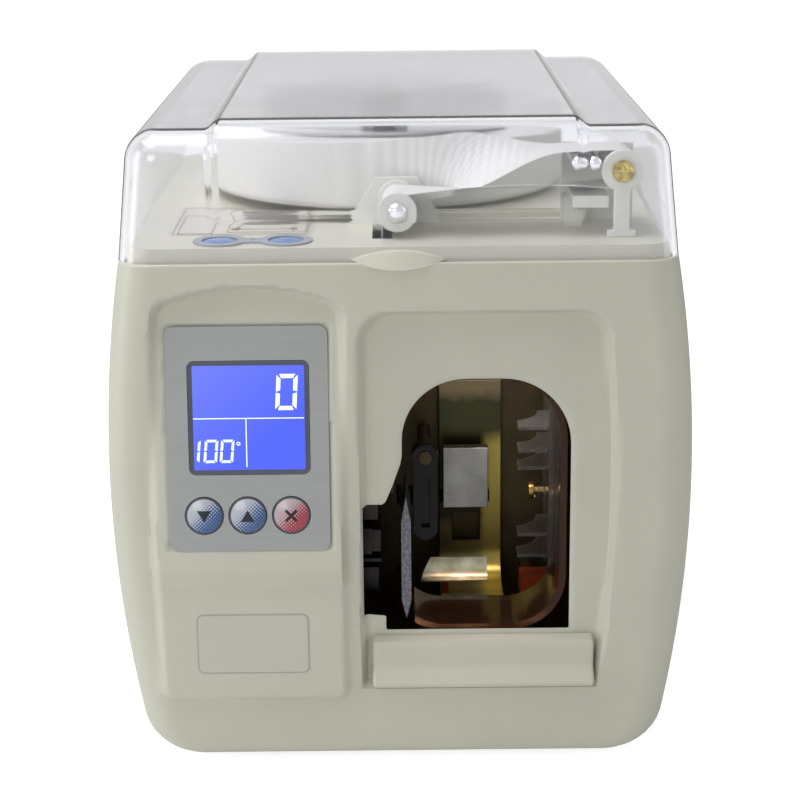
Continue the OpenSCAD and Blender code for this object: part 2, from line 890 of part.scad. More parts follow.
module feed_key() color([0.25, 0.42, 0.75]) machine() key_cap(key_xs[0]);
module test_key() color([0.25, 0.42, 0.75]) machine() key_cap(key_xs[1]);

module key_switches() color(dark) machine() {
    for (x = key_xs) {
        block(x - 4, key_y - 4, key_shelf_z, 8, 8, 7.5);
        rod_z(x, key_y, 1.6, key_shelf_z, key_low - key_stem_l - key_travel - 0.2 - key_shelf_z);
    }
}

module reel_spindle() color(steel) machine() {
    rod_z(reel_x, reel_y, 16, deck_top, platter_z - deck_top - 0.2);
    rod_z(reel_x, reel_y, spindle_r - run_fit, deck_top - 6, roll_z + tape_w + disc_t + 3 - deck_top + 6);
}

module reel_platter() color(ivory) machine() {
    difference() {
        union() {
            rod_z(reel_x, reel_y, roll_r - 2, platter_z, platter_t);
            rod_z(reel_x, reel_y, hub_r, platter_z, platter_t + tape_w - 2);
        }
        rod_z(reel_x, reel_y, spindle_r, platter_z - eps, tape_w + 10);
        difference() {
            rod_z(reel_x, reel_y, hub_r - 3, platter_z + platter_t + eps, tape_w);
            rod_z(reel_x, reel_y, spindle_r + 3, platter_z, 2 * tape_w);
        }
    }
}

module tape_core() color([0.62, 0.5, 0.36]) machine() {
    difference() {
        rod_z(reel_x, reel_y, core_r, roll_z, tape_w);
        rod_z(reel_x, reel_y, hub_r + fit, roll_z - eps, tape_w + 2 * eps);
    }
}

module tape_roll() color(white) machine() {
    difference() {
        rod_z(reel_x, reel_y, roll_r, roll_z, tape_w);
        rod_z(reel_x, reel_y, core_r + 0.1, roll_z - eps, tape_w + 2 * eps);
    }
}

module reel_disc() color(smoke) machine() {
    low = roll_z + tape_w;
    difference() {
        union() {
            rod_z(reel_x, reel_y, reel_disc_r, low, disc_t);
            rod_z(reel_x, reel_y, 11, low - 2 + fit, disc_t + 6);
        }
        rod_z(reel_x, reel_y, spindle_r, low - 3, disc_t + 6.4);
    }
}

// The tape leaves the roll at its front, twists flat on the way to the corner roller, runs back over
// the centre roller and down through the deck. Stations: middle point, width direction and length.
leave_to = [corner_x, tape_mid];
leave_d = norm(leave_to - [reel_x, reel_y]);
leave_turn = atan2(reel_y - tape_mid, reel_x - corner_x) + asin((roll_r + tape_gap) / leave_d);
leave_len = sqrt(pow(leave_d, 2) - pow(roll_r + tape_gap, 2));
leave_dir = [-cos(leave_turn), -sin(leave_turn)];
corner_path_r = corner_roll_r + tape_gap;
centre_path_r = roller_r + tape_gap;
out_z = corner_z + corner_path_r;
roll_mid_z = roll_z + tape_w / 2;
tape_low_z = nip_z - 16;

function ease(t) = t * t * (3 - 2 * t);
function twist_at(t) = 90 * ease(min(1, max(0, (t - 0.3) / 0.5)));
function way_out(t) = [
    leave_to.x - leave_dir.x * leave_len * (1 - t), leave_to.y - leave_dir.y * leave_len * (1 - t),
    roll_mid_z + (out_z - roll_mid_z) * ease(t)
];
// Each station is [middle, width direction, thickness direction]
function out_station(t) =
    let (a = twist_at(t), side = [-leave_dir.y, leave_dir.x, 0] * (1 - ease(t)) + [0, 1, 0] * ease(t))
    let (s = side / norm(side))
    [way_out(t), [s.x * sin(a), s.y * sin(a), cos(a)], [s.x * cos(a), s.y * cos(a), -sin(a)]];
function turn_station(c, r, a) =
    [[c.x + r * cos(a), tape_mid, c.y + r * sin(a)], [0, 1, 0], [-cos(a), 0, -sin(a)]];

corner_turns = [for (a = [90 : -20 : -90]) turn_station([corner_x, corner_z], corner_path_r, a)];
centre_turns = [
    for (a = [90 : 15 : 180])
        let (s = turn_station([centre_x, centre_z], centre_path_r, a)) [s[0], s[1], -s[2]]
];
tape_stations = concat(
    [for (i = [0 : 30]) out_station(i / 31)],
    corner_turns,
    [for (i = [1 : 11])
        let (t = i / 12, a = corner_turns[9][0], b = centre_turns[0][0], tip = 12 * sin(180 * t))
        [a + (b - a) * t, [0, cos(tip), -sin(tip)], [0, sin(tip), cos(tip)]]],
    centre_turns,
    [[[drop_x, tape_mid, tape_low_z], [0, 1, 0], [-1, 0, 0]]]
);

module tape_strip() color(white) machine() {
    n = len(tape_stations);
    points = [
        for (s = tape_stations, c = [[-1, -1], [1, -1], [1, 1], [-1, 1]])
            s[0] + s[1] * c[0] * tape_w / 2 + s[2] * c[1] * tape_t / 2
    ];
    sides = [
        for (i = [0 : n - 2], k = [0 : 3])
            let (a = 4 * i + k, b = 4 * i + (k + 1) % 4)
            each k == 2 ? [[a, b, a + 4], [b, b + 4, a + 4]] : [[a, b, b + 4], [a, b + 4, a + 4]]
    ];
    ends = [[0, 2, 1], [0, 3, 2], [4 * n - 4, 4 * n - 3, 4 * n - 2], [4 * n - 4, 4 * n - 2, 4 * n - 1]];
    polyhedron(points = points, faces = concat(sides, ends));
}

module corner_post() color(white) machine() {
    y = tape_y - 3;
    difference() {
        union() {
            rod_y(corner_x, corner_z, 8.7, y, 2.4);
            block(corner_x - 3.4, y, deck_top, 6.8, 2.4, corner_z - deck_top);
            block(corner_x - 6, y, deck_top, 12, 2.4, 3);
        }
        rod_y(corner_x, corner_z, pin_r + run_fit, y - eps, 10);
    }
}

module corner_roller() color(white) machine() {
    difference() {
        rod_y(corner_x, corner_z, corner_roll_r, tape_y - fit, tape_w + 2 * fit);
        rod_y(corner_x, corner_z, pin_r + run_fit, 0, 100);
    }
}

module corner_screw() color(zinc) machine() {
    y = tape_y - 3;
    rod_y(corner_x, corner_z, pin_r, y - 0.5, block_y + block_t - y);
    difference() {
        rod_y(corner_x, corner_z, 4.6, y - 2.2, 2.2);
        block(corner_x - 2.6, y - 3.2, corner_z - 0.5, 5.2, 2, 1);
        block(corner_x - 0.5, y - 3.2, corner_z - 2.6, 1, 2, 5.2);
    }
}

module guide_block() color(white) machine() {
    difference() {
        union() {
            block(block_x, block_y, deck_top, block_w, block_t, guide_pin_z + 4 - deck_top);
            block(block_x + 2, tape_y, table_z, 15, block_y - tape_y + 1, table_t);
            block(block_x, block_y - 14, deck_top, 8, 15, table_z - deck_top + 1);
        }
        rod_y(corner_x, corner_z, pin_r + run_fit, 0, 100);
        for (x = guide_pin_xs) rod_y(x, guide_pin_z, guide_pin_r + 0.02, 0, 100);
    }
}

module guide_pins() color([0.85, 0.85, 0.87]) machine() {
    for (x = guide_pin_xs) {
        rod_y(x, guide_pin_z, guide_pin_r, tape_y - 3, block_y + block_t - tape_y + 3);
        intersection() {
            rod_y(x, guide_pin_z, guide_pin_r, tape_y - 6, 4);
            translate([x, tape_y - 1, guide_pin_z]) sphere(r = 3.8);
        }
    }
}

module roller_bracket() color(white) machine() {
    difference() {
        along_y(tape_back + 3, 2.4) polygon([
            [centre_x - 22, deck_top], [centre_x + 20, deck_top], [centre_x + 9, centre_z + 9],
            [centre_x - 9, centre_z + 9]
        ]);
        rod_y(centre_x, centre_z, pin_r + run_fit, 0, 100);
    }
}

module centre_roller() color(white) machine() {
    difference() {
        union() {
            rod_y(centre_x, centre_z, roller_r, tape_y - 1, tape_w + 2);
            rod_y(centre_x, centre_z, roller_flange, tape_y - 2.5, 2);
            rod_y(centre_x, centre_z, roller_flange, tape_back + 0.5, 2);
        }
        rod_y(centre_x, centre_z, pin_r + run_fit, 0, 100);
    }
}

module centre_pin() color([0.85, 0.85, 0.87]) machine() {
    rod_y(centre_x, centre_z, pin_r, tape_y - 4, tape_w + 10);
    intersection() {
        rod_y(centre_x, centre_z, 4.2, tape_y - 6, 3.2);
        translate([centre_x, tape_y - 0.6, centre_z]) sphere(r = 5);
    }
}

// ---- Works behind the note opening ---------------------------------------

module track_outline(grow) {
    x = track_x - grow;
    z = track_z - grow;
    w = track_w + 2 * grow;
    h = track_top - track_z + 2 * grow;
    lr = track_low_r + grow;
    ur = track_up_r + grow;
    difference() {
        translate([x, z]) square([w, h]);
        corner_cut([x + lr, z + lr], lr, [-1, 0], [0, -1]);
        corner_cut([x + w - lr, z + lr], lr, [1, 0], [0, -1]);
        corner_cut([x + ur, z + h - ur], ur, [-1, 0], [0, 1]);
        corner_cut([x + w - ur, z + h - ur], ur, [1, 0], [0, 1]);
    }
}

module main_frame() color(zinc) machine() {
    difference() {
        union() {
            block(-frame_w / 2, frame_y, base_z, frame_w, frame_t, frame_top - base_z);
            block(-frame_w / 2, frame_y, base_z, frame_w, 16, frame_t);
            block(-frame_w / 2, frame_y, frame_top - frame_t, frame_w, 14, frame_t);
            for (z = [head_low + 12, head_top - 10]) rod_y(frame_post_in - frame_w / 2, z, 4, head_back, frame_y - head_back + 1);
            for (z = [70, 122]) rod_y(bracket_x + bracket_w - 5, z, 3, bracket_y + bracket_t, frame_y - bracket_y);
            rod_y(finger_x, finger_top, finger_pin_r, finger_y - 1, frame_y - finger_y + 2);
            block(sensor_at.x + sensor_l, sensor_at.y - 5, sensor_at.z - 6, 4, frame_y - sensor_at.y + 6, 12);
        }
        rod_x(sensor_at.y, sensor_at.z, plunger_r + run_fit, sensor_at.x, 2 * sensor_l);
        block(stop_x - 2, frame_y - eps, stop_z - 2, stop_w + 4, 10, 8);
        block(blade_x - 4, frame_y - eps, arm_z - 2, 8, 10, arm_h + 4);
    }
}

module loop_track() color(smoke) machine() {
    difference() {
        union() {
            along_y(track_y, track_d) track_outline(track_t);
            along_y(track_y + track_d - 2, 2) track_outline(track_t + 7);
            for (p = [[2, track_z - 6], [60, track_z - 6], [track_x + track_w / 2, track_top + 4]])
                rod_y(p[0], p[1], 4, track_y + track_d - 1, frame_y - track_y - track_d + 1);
        }
        along_y(0, track_y + track_d + 1) track_outline(0);
        block(-30, 0, track_z - 2, track_gap_x + 30, 60, notch_top - track_z + 6);
        block(drop_x - 4, 0, track_top - 20, 8, 60, 40);
    }
}

// Clear guide on the right of the notes: an upright plate with level fins
module side_guide() color(clear) machine() {
    right = track_x + track_w;
    y = track_y + track_d + 2;
    difference() {
        union() {
            block(right - 2.2, y, 62, 2.2, 38, 84);
            for (z = fin_zs) along_z(z, fin_t) fin_outline(right, y);
            block(right - 2.2, y + 36, 66, 8, 2, 76);
            for (z = [72, 136]) rod_y(right + 3, z, 2.6, y + 37, frame_y - y - 37);
        }
        block(right - 9, sensor_at.y - 7, sensor_at.z - 8, 12, 14, 16);
    }
}

module along_z(z, len) {
    translate([0, 0, z]) linear_extrude(len) children();
}

module fin_outline(right, y) {
    difference() {
        translate([right - 16, y]) square([15, 26]);
        translate([right - 20, y + 24]) circle(14);
    }
}

module stop_bracket() color(zinc) machine() {
    r = bracket_bend;
    c = [bracket_y - r + bracket_t, bracket_low + r];
    difference() {
        union() {
            block(bracket_x, bracket_y, c.y, bracket_w, bracket_t, bracket_top + 15 - c.y);
            block(bracket_x, bracket_foot_y, bracket_low, bracket_w, c.x - bracket_foot_y, bracket_t);
            intersection() {
                difference() {
                    rod_x(c.x, c.y, r, bracket_x, bracket_w);
                    rod_x(c.x, c.y, r - bracket_t, bracket_x - 1, bracket_w + 2);
                }
                block(bracket_x, c.x, bracket_low - eps, bracket_w, 2 * r, r + eps);
            }
            block(bracket_x, bracket_foot_y, base_z, 3, 15, bracket_low - base_z + bracket_t);
        }
        block(stop_x - 1, bracket_y - eps, stop_z - 1.5, stop_w + 2, 10, 6);
        block(bracket_x + 6, bracket_y - eps, 66, bracket_w - 16, 10, 14);
    }
}

module note_stop() color(steel) machine() {
    block(stop_x, stop_y, stop_z, stop_w, stop_t, stop_h);
    block(stop_x, stop_y, stop_z + stop_h - stop_t, stop_w, 6, stop_t);
    block(stop_x + 2, stop_y, stop_z, stop_w - 4, stop_tail, stop_t);
}

// Dark finger that holds the notes against the anvil, on a pin from the frame
module note_finger() color(dark) machine() {
    difference() {
        union() {
            rod_y(finger_x, finger_top, 6, finger_y, finger_d);
            block(finger_x - finger_w / 2, finger_y, finger_z + 4, finger_w, finger_d, finger_top - finger_z - 4);
            rod_y(finger_x, finger_z + finger_w / 2, finger_w / 2, finger_y, finger_d);
        }
        rod_y(finger_x, finger_top, finger_pin_r + run_fit, 0, 100);
        block(finger_x - 2, finger_y - eps, finger_z + 6, 4, 4, 24);
    }
}

function curl_point(i) =
    let (t = i / spring_rings)
    [spring_r * cos(360 * t), spring_r * sin(360 * t), spring_len * t / spring_curls];
echo(least_spring_gap = spring_len / spring_curls - 2 * spring_wire);

module note_plunger() color([0.75, 0.6, 0.3]) machine() {
    rod_x(sensor_at.y, sensor_at.z, plunger_r, sensor_at.x, sensor_l + 2);
    rod_x(sensor_at.y, sensor_at.z, 4, sensor_at.x, sensor_head);
}

module plunger_spring() color([0.8, 0.5, 0.3]) machine() {
    n = spring_curls * spring_rings;
    lead = atan2(spring_len / spring_curls, 2 * PI * spring_r);
    points = [
        for (i = [0 : n], k = [0 : 5])
            let (a = 360 * i / spring_rings, out = [cos(a), sin(a), 0])
            let (up = [-sin(a) * sin(lead), cos(a) * sin(lead), -cos(lead)])
            curl_point(i) + spring_wire * (out * cos(60 * k) + up * sin(60 * k))
    ];
    sides = [
        for (i = [0 : n - 1], k = [0 : 5])
            let (a = 6 * i + k, b = 6 * i + (k + 1) % 6)
            each [[a, b + 6, b], [a, a + 6, b + 6]]
    ];
    ends = [for (k = [1 : 4]) each [[0, k, k + 1], [6 * n, 6 * n + k + 1, 6 * n + k]]];
    translate(sensor_at + [sensor_head + spring_wire + 0.05, 0, 0])
        rotate([0, 90, 0]) polyhedron(points = points, faces = concat(sides, ends));
}

// ---- Sealing head --------------------------------------------------------

module head_frame() color(zinc) machine() {
    difference() {
        union() {
            for (z = [head_low, head_top]) block(head_x, head_y, z, head_w, head_back - head_y, head_t);
            block(head_x, head_back - head_t, head_low, head_w, head_t, head_top - head_low + head_t);
        }
        rod_z(shaft_x, shaft_y, shaft_r + run_fit, 0, 200);
        rod_z(shaft_x, motor_y, motor_boss_r + run_fit, head_low - eps, 10);
    }
}

module ram_guide() color(dark) machine() {
    low = head_low + head_t;
    difference() {
        block(guide_x, ram_y - 6, low, guide_w, ram_d + 12, head_top - low);
        for (z = clamp_zs) ram_slot(z, clamp_h);
        ram_slot(heater_z, heater_h);
        ram_slot(cutter_z, cutter_h);
    }
}

module ram_slot(z, h) {
    block(guide_x - eps, ram_y - fit, z - fit, guide_w + 2 * eps, ram_d + 2 * fit, h + 2 * fit);
}

// Flat bar from the cams to its tip
module ram(z, h, tip, d) {
    block(ram_back_x, ram_y, z, tip - ram_back_x, d, h);
}

module clamp_jaws() color(steel) machine() {
    for (z = clamp_zs) ram(z, clamp_h, ram_tip_x - 1, ram_d);
    yoke_x = guide_x + guide_w + ram_travel + 5;
    block(yoke_x, ram_y + ram_d, clamp_zs[0], 6, 3, clamp_zs[1] + clamp_h - clamp_zs[0]);
}

module heater_block() color([0.45, 0.42, 0.4]) machine() {
    difference() {
        union() {
            ram(heater_z, heater_h, ram_tip_x - 4, ram_d - 1);
            block(ram_tip_x - 5, ram_y + 1, heater_z + 1, 5, ram_d - 3, heater_h - 2);
        }
        rod_x(ram_y + ram_d / 2, heater_z + heater_h / 2, 3.1, ram_back_x - eps, ram_tip_x - 6 - ram_back_x);
    }
}

module cutter_blade() color([0.8, 0.8, 0.82]) machine() {
    difference() {
        ram(cutter_z, cutter_h, ram_tip_x, ram_d - 1);
        along_z(cutter_z - eps, 5) for (y = [ram_y : 3 : ram_y + ram_d - 3])
            polygon([[ram_tip_x + 1, y], [ram_tip_x - 1.5, y + 1.5], [ram_tip_x + 1, y + 3]]);
    }
}

module anvil_blade() color([0.82, 0.82, 0.84]) machine() {
    x = blade_x - blade_w / 2;
    along_y(blade_y, blade_d) polygon([
        [blade_x, blade_z], [x + blade_w, blade_z + 9], [x + blade_w, blade_z + blade_h - 12],
        [blade_x, blade_z + blade_h], [x, blade_z + blade_h - 12], [x, blade_z + 9]
    ]);
    block(blade_x - 1.5, blade_y + blade_d - eps, arm_z, 3, frame_y + 6 - blade_y - blade_d, arm_h);
}

// Toothed outline of a gear, its teeth as straight-sided points on the pitch circle
module gear_outline(teeth, turn) {
    r = gear_module * teeth / 2;
    a = 360 / teeth;
    polygon([
        for (i = [0 : teeth - 1], p = [[-0.42, -1.1], [-0.2, 0.75], [0.2, 0.75], [0.42, -1.1]])
            let (q = turn + (i + p[0] * 0.62) * a, d = r + p[1] * gear_module)
            [d * cos(q), d * sin(q)]
    ]);
}

module cam_shaft() color(steel) machine() translate([shaft_x, shaft_y, 0]) {
    rod_z(0, 0, shaft_r, gear_z - 4, head_top + head_t + 8 - gear_z);
    for (z = [clamp_zs[0], heater_z + 2, clamp_zs[1]]) rod_z(-cam_throw, 0, cam_r, z + 1, 8);
    rod_z(-cam_throw, 0, cam_r, cutter_z - 0.2, 2);
    difference() {
        along_z(gear_z, gear_t) gear_outline(gear_teeth, 0);
        for (i = [0 : 5]) rotate([0, 0, 60 * i]) rod_z(14, 0, 4, gear_z - eps, gear_t + 2 * eps);
    }
    rod_z(0, 0, 7, gear_z - 2.5, gear_t + 5);
}

module motor_pinion() color([0.75, 0.62, 0.3]) machine() translate([shaft_x, motor_y, 0]) {
    difference() {
        along_z(gear_z - 1, gear_t + 2) gear_outline(pinion_teeth, 90 / pinion_teeth * 2);
        rod_z(0, 0, motor_shaft_r + run_fit, gear_z - 1 - eps, gear_t + 4);
    }
}

module drive_motor() color(steel) machine() translate([shaft_x, motor_y, 0]) {
    low = head_low + head_t;
    rod_z(0, 0, motor_r, low, motor_h);
    rod_z(0, 0, motor_boss_r, low - head_t, head_t + eps);
    rod_z(0, 0, motor_shaft_r, gear_z - 2, low - gear_z + 2);
    for (y = [-8, 5]) block(-4, y, low + motor_h - eps, 1, 3, 6);
}

// ---- Tape feed -----------------------------------------------------------

module feed_bracket() color(zinc) machine() {
    difference() {
        union() {
            for (y = [feed_y, feed_back_y]) block(feed_side_x, y, feed_low, feed_side_w, feed_t, feed_top - feed_low + feed_t);
            block(feed_side_x, feed_y, feed_top, feed_side_w, feed_back_y - feed_y + feed_t, feed_t);
            rod_y(pivot.x, pivot.y, 2, feed_y, feed_back_y - feed_y + feed_t);
        }
        deck_slot(1);
        rod_y(feed_x, nip_z, 3 + run_fit, 0, 100);
    }
}

module feed_roller() color(dark) machine() {
    rod_y(feed_x, nip_z, feed_r, feed_y + feed_t + 2, feed_back_y - feed_y - feed_t - 4);
    rod_y(feed_x, nip_z, 3, feed_y - 2, feed_back_y + feed_t + 6 - feed_y);
}

module feed_motor() color(steel) machine() {
    y = feed_back_y + feed_t;
    difference() {
        rod_y(feed_x, nip_z, feed_motor_r, y, feed_motor_l);
        rod_y(feed_x, nip_z, 3 + run_fit, y - eps, 6);
    }
}

module pinch_arm() color(zinc) machine() {
    front = feed_y + feed_t + 0.6;
    back = feed_back_y - 2.6;
    difference() {
        union() {
            for (y = [front, back]) {
                rod_y(pivot.x, pivot.y, 4.5, y, 2);
                rod_y(pinch_x, nip_z, 4.5, y, 2);
                arm_link(y);
            }
            rod_y(pivot.x, pivot.y, 3.6, front, back - front + 1);
        }
        rod_y(pivot.x, pivot.y, 2 + run_fit, 0, 100);
        rod_y(pinch_x, nip_z, pin_r + run_fit, 0, 100);
    }
}

// Straight link between the arm's two round ends
module arm_link(y) {
    d = pivot - [pinch_x, nip_z];
    n = [-d.y, d.x] / norm(d) * 3.5;
    p = [pinch_x, nip_z];
    along_y(y, 2) polygon([p + n, p - n, pivot - n, pivot + n]);
}

module pinch_roller() color(dark) machine() {
    rod_y(pinch_x, nip_z, pinch_r, tape_y - 1, tape_w + 2);
    rod_y(pinch_x, nip_z, pin_r, feed_y + feed_t + 0.8, feed_back_y - feed_y - feed_t - 1.6);
}

// ---- Boards and supply -----------------------------------------------------

module control_board() color([0.1, 0.35, 0.2]) machine() {
    block(board_x, board_y0, board_z, board_w, board_d, board_t);
    block(board_x + 20, board_y0 + 20, board_z + board_t, 22, 22, 3);
    block(board_x + 60, board_y0 + 14, board_z + board_t, 14, 40, 9);
    rod_z(board_x + 25, board_y0 + 80, 8, board_z + board_t, 20);
    rod_z(board_x + 48, board_y0 + 80, 6, board_z + board_t, 16);
    for (i = [0 : 3]) block(board_x + 12 + 20 * i, board_y0 + 100, board_z + board_t, 14, 8, 8);
}

module power_unit() color(dark) machine() {
    block(unit_x, unit_y, base_z, unit_w, unit_d, 3);
    block(unit_x + 6, unit_y + 8, base_z + 3, unit_w - 12, unit_d - 16, unit_h - 3);
}

// Mains inlet in one frame with its fuse drawer and the opening for the rocker
module power_inlet() color(dark) machine() {
    w = inlet_w - 2 * fit;
    h = inlet_h - 2 * fit;
    difference() {
        union() {
            block(inlet_x - w / 2, body_d - inlet_deep, inlet_z - h / 2, w, inlet_deep, h);
            along_y(body_d, 2)
                round_rect(inlet_x - inlet_w / 2 - inlet_rim, inlet_z - inlet_h / 2 - inlet_rim,
                    inlet_w + 2 * inlet_rim, inlet_h + 2 * inlet_rim, 2);
        }
        along_y(body_d - 14, 20) polygon([for (p = [[-12, -8.5], [12, -8.5], [12, 4], [7.5, 8.5], [-7.5, 8.5], [-12, 4]])
            [inlet_x, socket_z] + p]);
        block(inlet_x - rocker_w / 2 - fit, body_d - 10, rocker_z - rocker_r - fit,
            rocker_w + 2 * fit, 20, 2 * (rocker_r + fit));
    }
    for (p = [[-7, -2], [7, -2], [0, 3.5]])
        block(inlet_x + p[0] - 1, body_d - 14 - eps, socket_z + p[1] - 2, 2, 11, 4);
}

// Rocker with a hollow face, at rest with its lower end pressed
module power_rocker() color([0.7, 0.1, 0.08]) machine() {
    translate([0, body_d - 0.5, rocker_z]) rotate([-rocker_tilt, 0, 0]) difference() {
        rod_x(0, 0, rocker_r, inlet_x - rocker_w / 2, rocker_w);
        along_x(inlet_x - rocker_w, 2 * rocker_w)
            polygon([[4.6, 8], [3.4, 0], [4.6, -8], [9, -8], [9, 8]]);
        along_x(inlet_x - rocker_w, 2 * rocker_w) polygon([[-9, -9], [-4.5, -9], [-4.5, 9], [-9, 9]]);
    }
}

housing_shell();
rear_panel();
base_plate();
rubber_feet();
case_screws();
top_deck();
note_rest();
hood();
hinge_brackets();
control_panel();
display_window();
display_module();
display_board();
down_button();
up_button();
clear_button();
key_base();
feed_key();
test_key();
key_switches();
reel_spindle();
reel_platter();
tape_core();
tape_roll();
reel_disc();
tape_strip();
corner_post();
corner_roller();
corner_screw();
guide_block();
guide_pins();
roller_bracket();
centre_roller();
centre_pin();
main_frame();
loop_track();
side_guide();
stop_bracket();
note_stop();
note_finger();
note_plunger();
plunger_spring();
head_frame();
ram_guide();
clamp_jaws();
heater_block();
cutter_blade();
anvil_blade();
cam_shaft();
drive_motor();
motor_pinion();
feed_bracket();
feed_motor();
feed_roller();
pinch_arm();
pinch_roller();
control_board();
power_unit();
power_inlet();
power_rocker();
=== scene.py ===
"""Desk-top machine that straps a bundle of banknotes with a loop of paper tape.

Run as a script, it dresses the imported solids. Each piece or group of like pieces is an operator, listed in
the sidebar's Strapping tab. Lengths in the tables are millimetres from the flat front of the cabinet and
from its underside.
"""
import json
import math

import bmesh
import bpy
import numpy as np
from bpy.props import FloatProperty, FloatVectorProperty, PointerProperty
from mathutils import Matrix, Vector

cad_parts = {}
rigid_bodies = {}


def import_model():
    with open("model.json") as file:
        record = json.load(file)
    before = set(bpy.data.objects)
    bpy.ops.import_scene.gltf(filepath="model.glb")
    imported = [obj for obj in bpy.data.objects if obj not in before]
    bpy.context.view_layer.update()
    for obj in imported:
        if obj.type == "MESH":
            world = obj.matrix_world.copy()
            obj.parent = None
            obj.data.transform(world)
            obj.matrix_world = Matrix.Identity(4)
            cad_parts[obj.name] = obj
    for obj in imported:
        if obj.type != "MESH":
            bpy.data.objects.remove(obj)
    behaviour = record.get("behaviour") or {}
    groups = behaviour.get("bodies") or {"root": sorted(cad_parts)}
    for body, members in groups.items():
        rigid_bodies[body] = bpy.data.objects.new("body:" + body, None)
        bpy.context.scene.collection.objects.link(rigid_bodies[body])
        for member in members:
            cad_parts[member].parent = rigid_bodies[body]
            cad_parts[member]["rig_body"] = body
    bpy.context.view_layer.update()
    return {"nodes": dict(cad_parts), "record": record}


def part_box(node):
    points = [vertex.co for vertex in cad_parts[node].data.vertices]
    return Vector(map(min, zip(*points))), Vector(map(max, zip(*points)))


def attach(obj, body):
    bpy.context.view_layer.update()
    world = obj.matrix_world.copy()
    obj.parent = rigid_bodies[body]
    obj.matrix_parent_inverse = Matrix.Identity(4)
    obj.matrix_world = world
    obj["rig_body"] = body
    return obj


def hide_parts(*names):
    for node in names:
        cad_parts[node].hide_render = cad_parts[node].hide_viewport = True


bl_info = {
    "name": "Banknote strapping machine",
    "version": (1, 0, 0),
    "blender": (4, 5, 0),
    "location": "3D View > Sidebar > Strapping",
    "description": "Dresses the solids of a desk-top banknote strapping machine",
    "category": "Object",
}

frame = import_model()
NODES = frame["nodes"]

MM = 0.001
FRONT_Y = -140.0                        # the flat front in the row frame
UNDER_Z = 4.0                           # the cabinet's underside above the ground
CABINET_DEPTH = 280.0
CABINET_TOP = 220.0
PANEL_SLOPE = 13 / 112                  # the display housing leans back by this share of its height
PANEL_TILT = math.atan(PANEL_SLOPE)
PANEL_MIDDLE = (-64.0, -0.384, 145.0)
REEL_AXIS = (-6.0, 150.0)
ROLL_R = 84.0                           # outermost turn of the tape


def linear(code):
    """An sRGB hex code as the linear colour that shaders take; a linear colour stays as it is."""
    if not isinstance(code, str):
        return tuple(code)
    parts = [int(code[i:i + 2], 16) / 255 for i in (1, 3, 5)]
    return tuple(p / 12.92 if p <= 0.04045 else ((p + 0.055) / 1.055) ** 2.4 for p in parts)


def at(x, y, z):
    """A point given in millimetres from the front and the underside, in the row frame."""
    return Vector((x, FRONT_Y + y, UNDER_Z + z)) * MM


PANEL_FRAME = Matrix.Translation(at(*PANEL_MIDDLE)) @ Matrix.Rotation(-PANEL_TILT, 4, "X")


# ---- Sizes and colours that can be changed ---------------------------------

def length(name, description, millimetres):
    """A size that can be changed: millimetres here, metres in the scene."""
    return FloatProperty(name=name, description=description, default=millimetres * MM,
                         unit="LENGTH", subtype="DISTANCE")


def colour(name, description, code):
    """A colour that can be changed, given as an sRGB hex code."""
    return FloatVectorProperty(name=name, description=description, default=linear(code),
                               subtype="COLOR", size=3, min=0, max=1)


class CabinetSizes(bpy.types.PropertyGroup):
    wall: length("Wall", "Wall of the moulded cabinet", 2.5)
    housing_blend: length("Housing edge", "How wide the soft edge of the display housing is", 3.2)
    field_blend: length("Field edge", "How wide the soft edge of the sunk field is", 3.2)
    field_depth: length("Field depth", "Depth of the sunk field round the note opening", 6.0)
    corner: length("Upright corner", "Radius of the upright corners", 14.0)


class HoodSizes(bpy.types.PropertyGroup):
    wall: length("Wall", "Wall of the clear hood", 2.4)
    lean: length("Lean", "How far the hood's front and back lean inwards", 4.0)
    top_round: length("Top edge", "Radius of the edges round the top", 12.0)
    ridge_rise: length("Ridge rise", "How far the middle field stands above the shoulders", 4.0)
    ridge_half: length("Ridge half width", "Half the width of the raised field", 76.0)


class DisplaySizes(bpy.types.PropertyGroup):
    digit_height: length("Digit height", "Height of the large digit", 15.3)
    stroke: length("Stroke", "Width of the large digit's strokes", 1.75)
    halftone_step: length("Dot step", "Distance between the printed dots on the buttons", 1.1)


class FinishColours(bpy.types.PropertyGroup):
    ivory: colour("Ivory", "Cabinet moulding", "#c9c9ba")
    cream: colour("Cream", "Deck moulding", "#dddccd")
    plate: colour("Control plate", "Brushed silver-grey film", "#a5a7a7")
    lcd: colour("Display", "Blue of the lit display", "#5468ff")
    lcd_ink: colour("Display ink", "Lit digits and lines", "#d4e8ff")
    key_blue: colour("Keys", "Blue key caps", "#4d7ec4")


# ---- Materials -----------------------------------------------------------------

def add_node(tree, kind, inputs=None, **settings):
    """Adds a node with its settings; an input takes a value or another node's output."""
    node = tree.nodes.new(kind)
    for key, value in settings.items():
        setattr(node, key, value)
    for key, value in (inputs or {}).items():
        if isinstance(value, bpy.types.NodeSocket):
            tree.links.new(value, node.inputs[key])
        else:
            node.inputs[key].default_value = value
    return node


def opaque(tint):
    """A colour as the four numbers that a colour input takes."""
    return (*linear(tint), 1.0)


def begin(name, fixed=None):
    """An empty material, its shader with the inputs that are the same all over, and the piece's own place."""
    material = bpy.data.materials.new(name)
    material.use_nodes = True
    tree = material.node_tree
    tree.nodes.clear()
    output = add_node(tree, "ShaderNodeOutputMaterial")
    shader = add_node(tree, "ShaderNodeBsdfPrincipled", fixed)
    tree.links.new(shader.outputs["BSDF"], output.inputs["Surface"])
    place = add_node(tree, "ShaderNodeTexCoord").outputs["Object"]
    return material, tree, shader, place


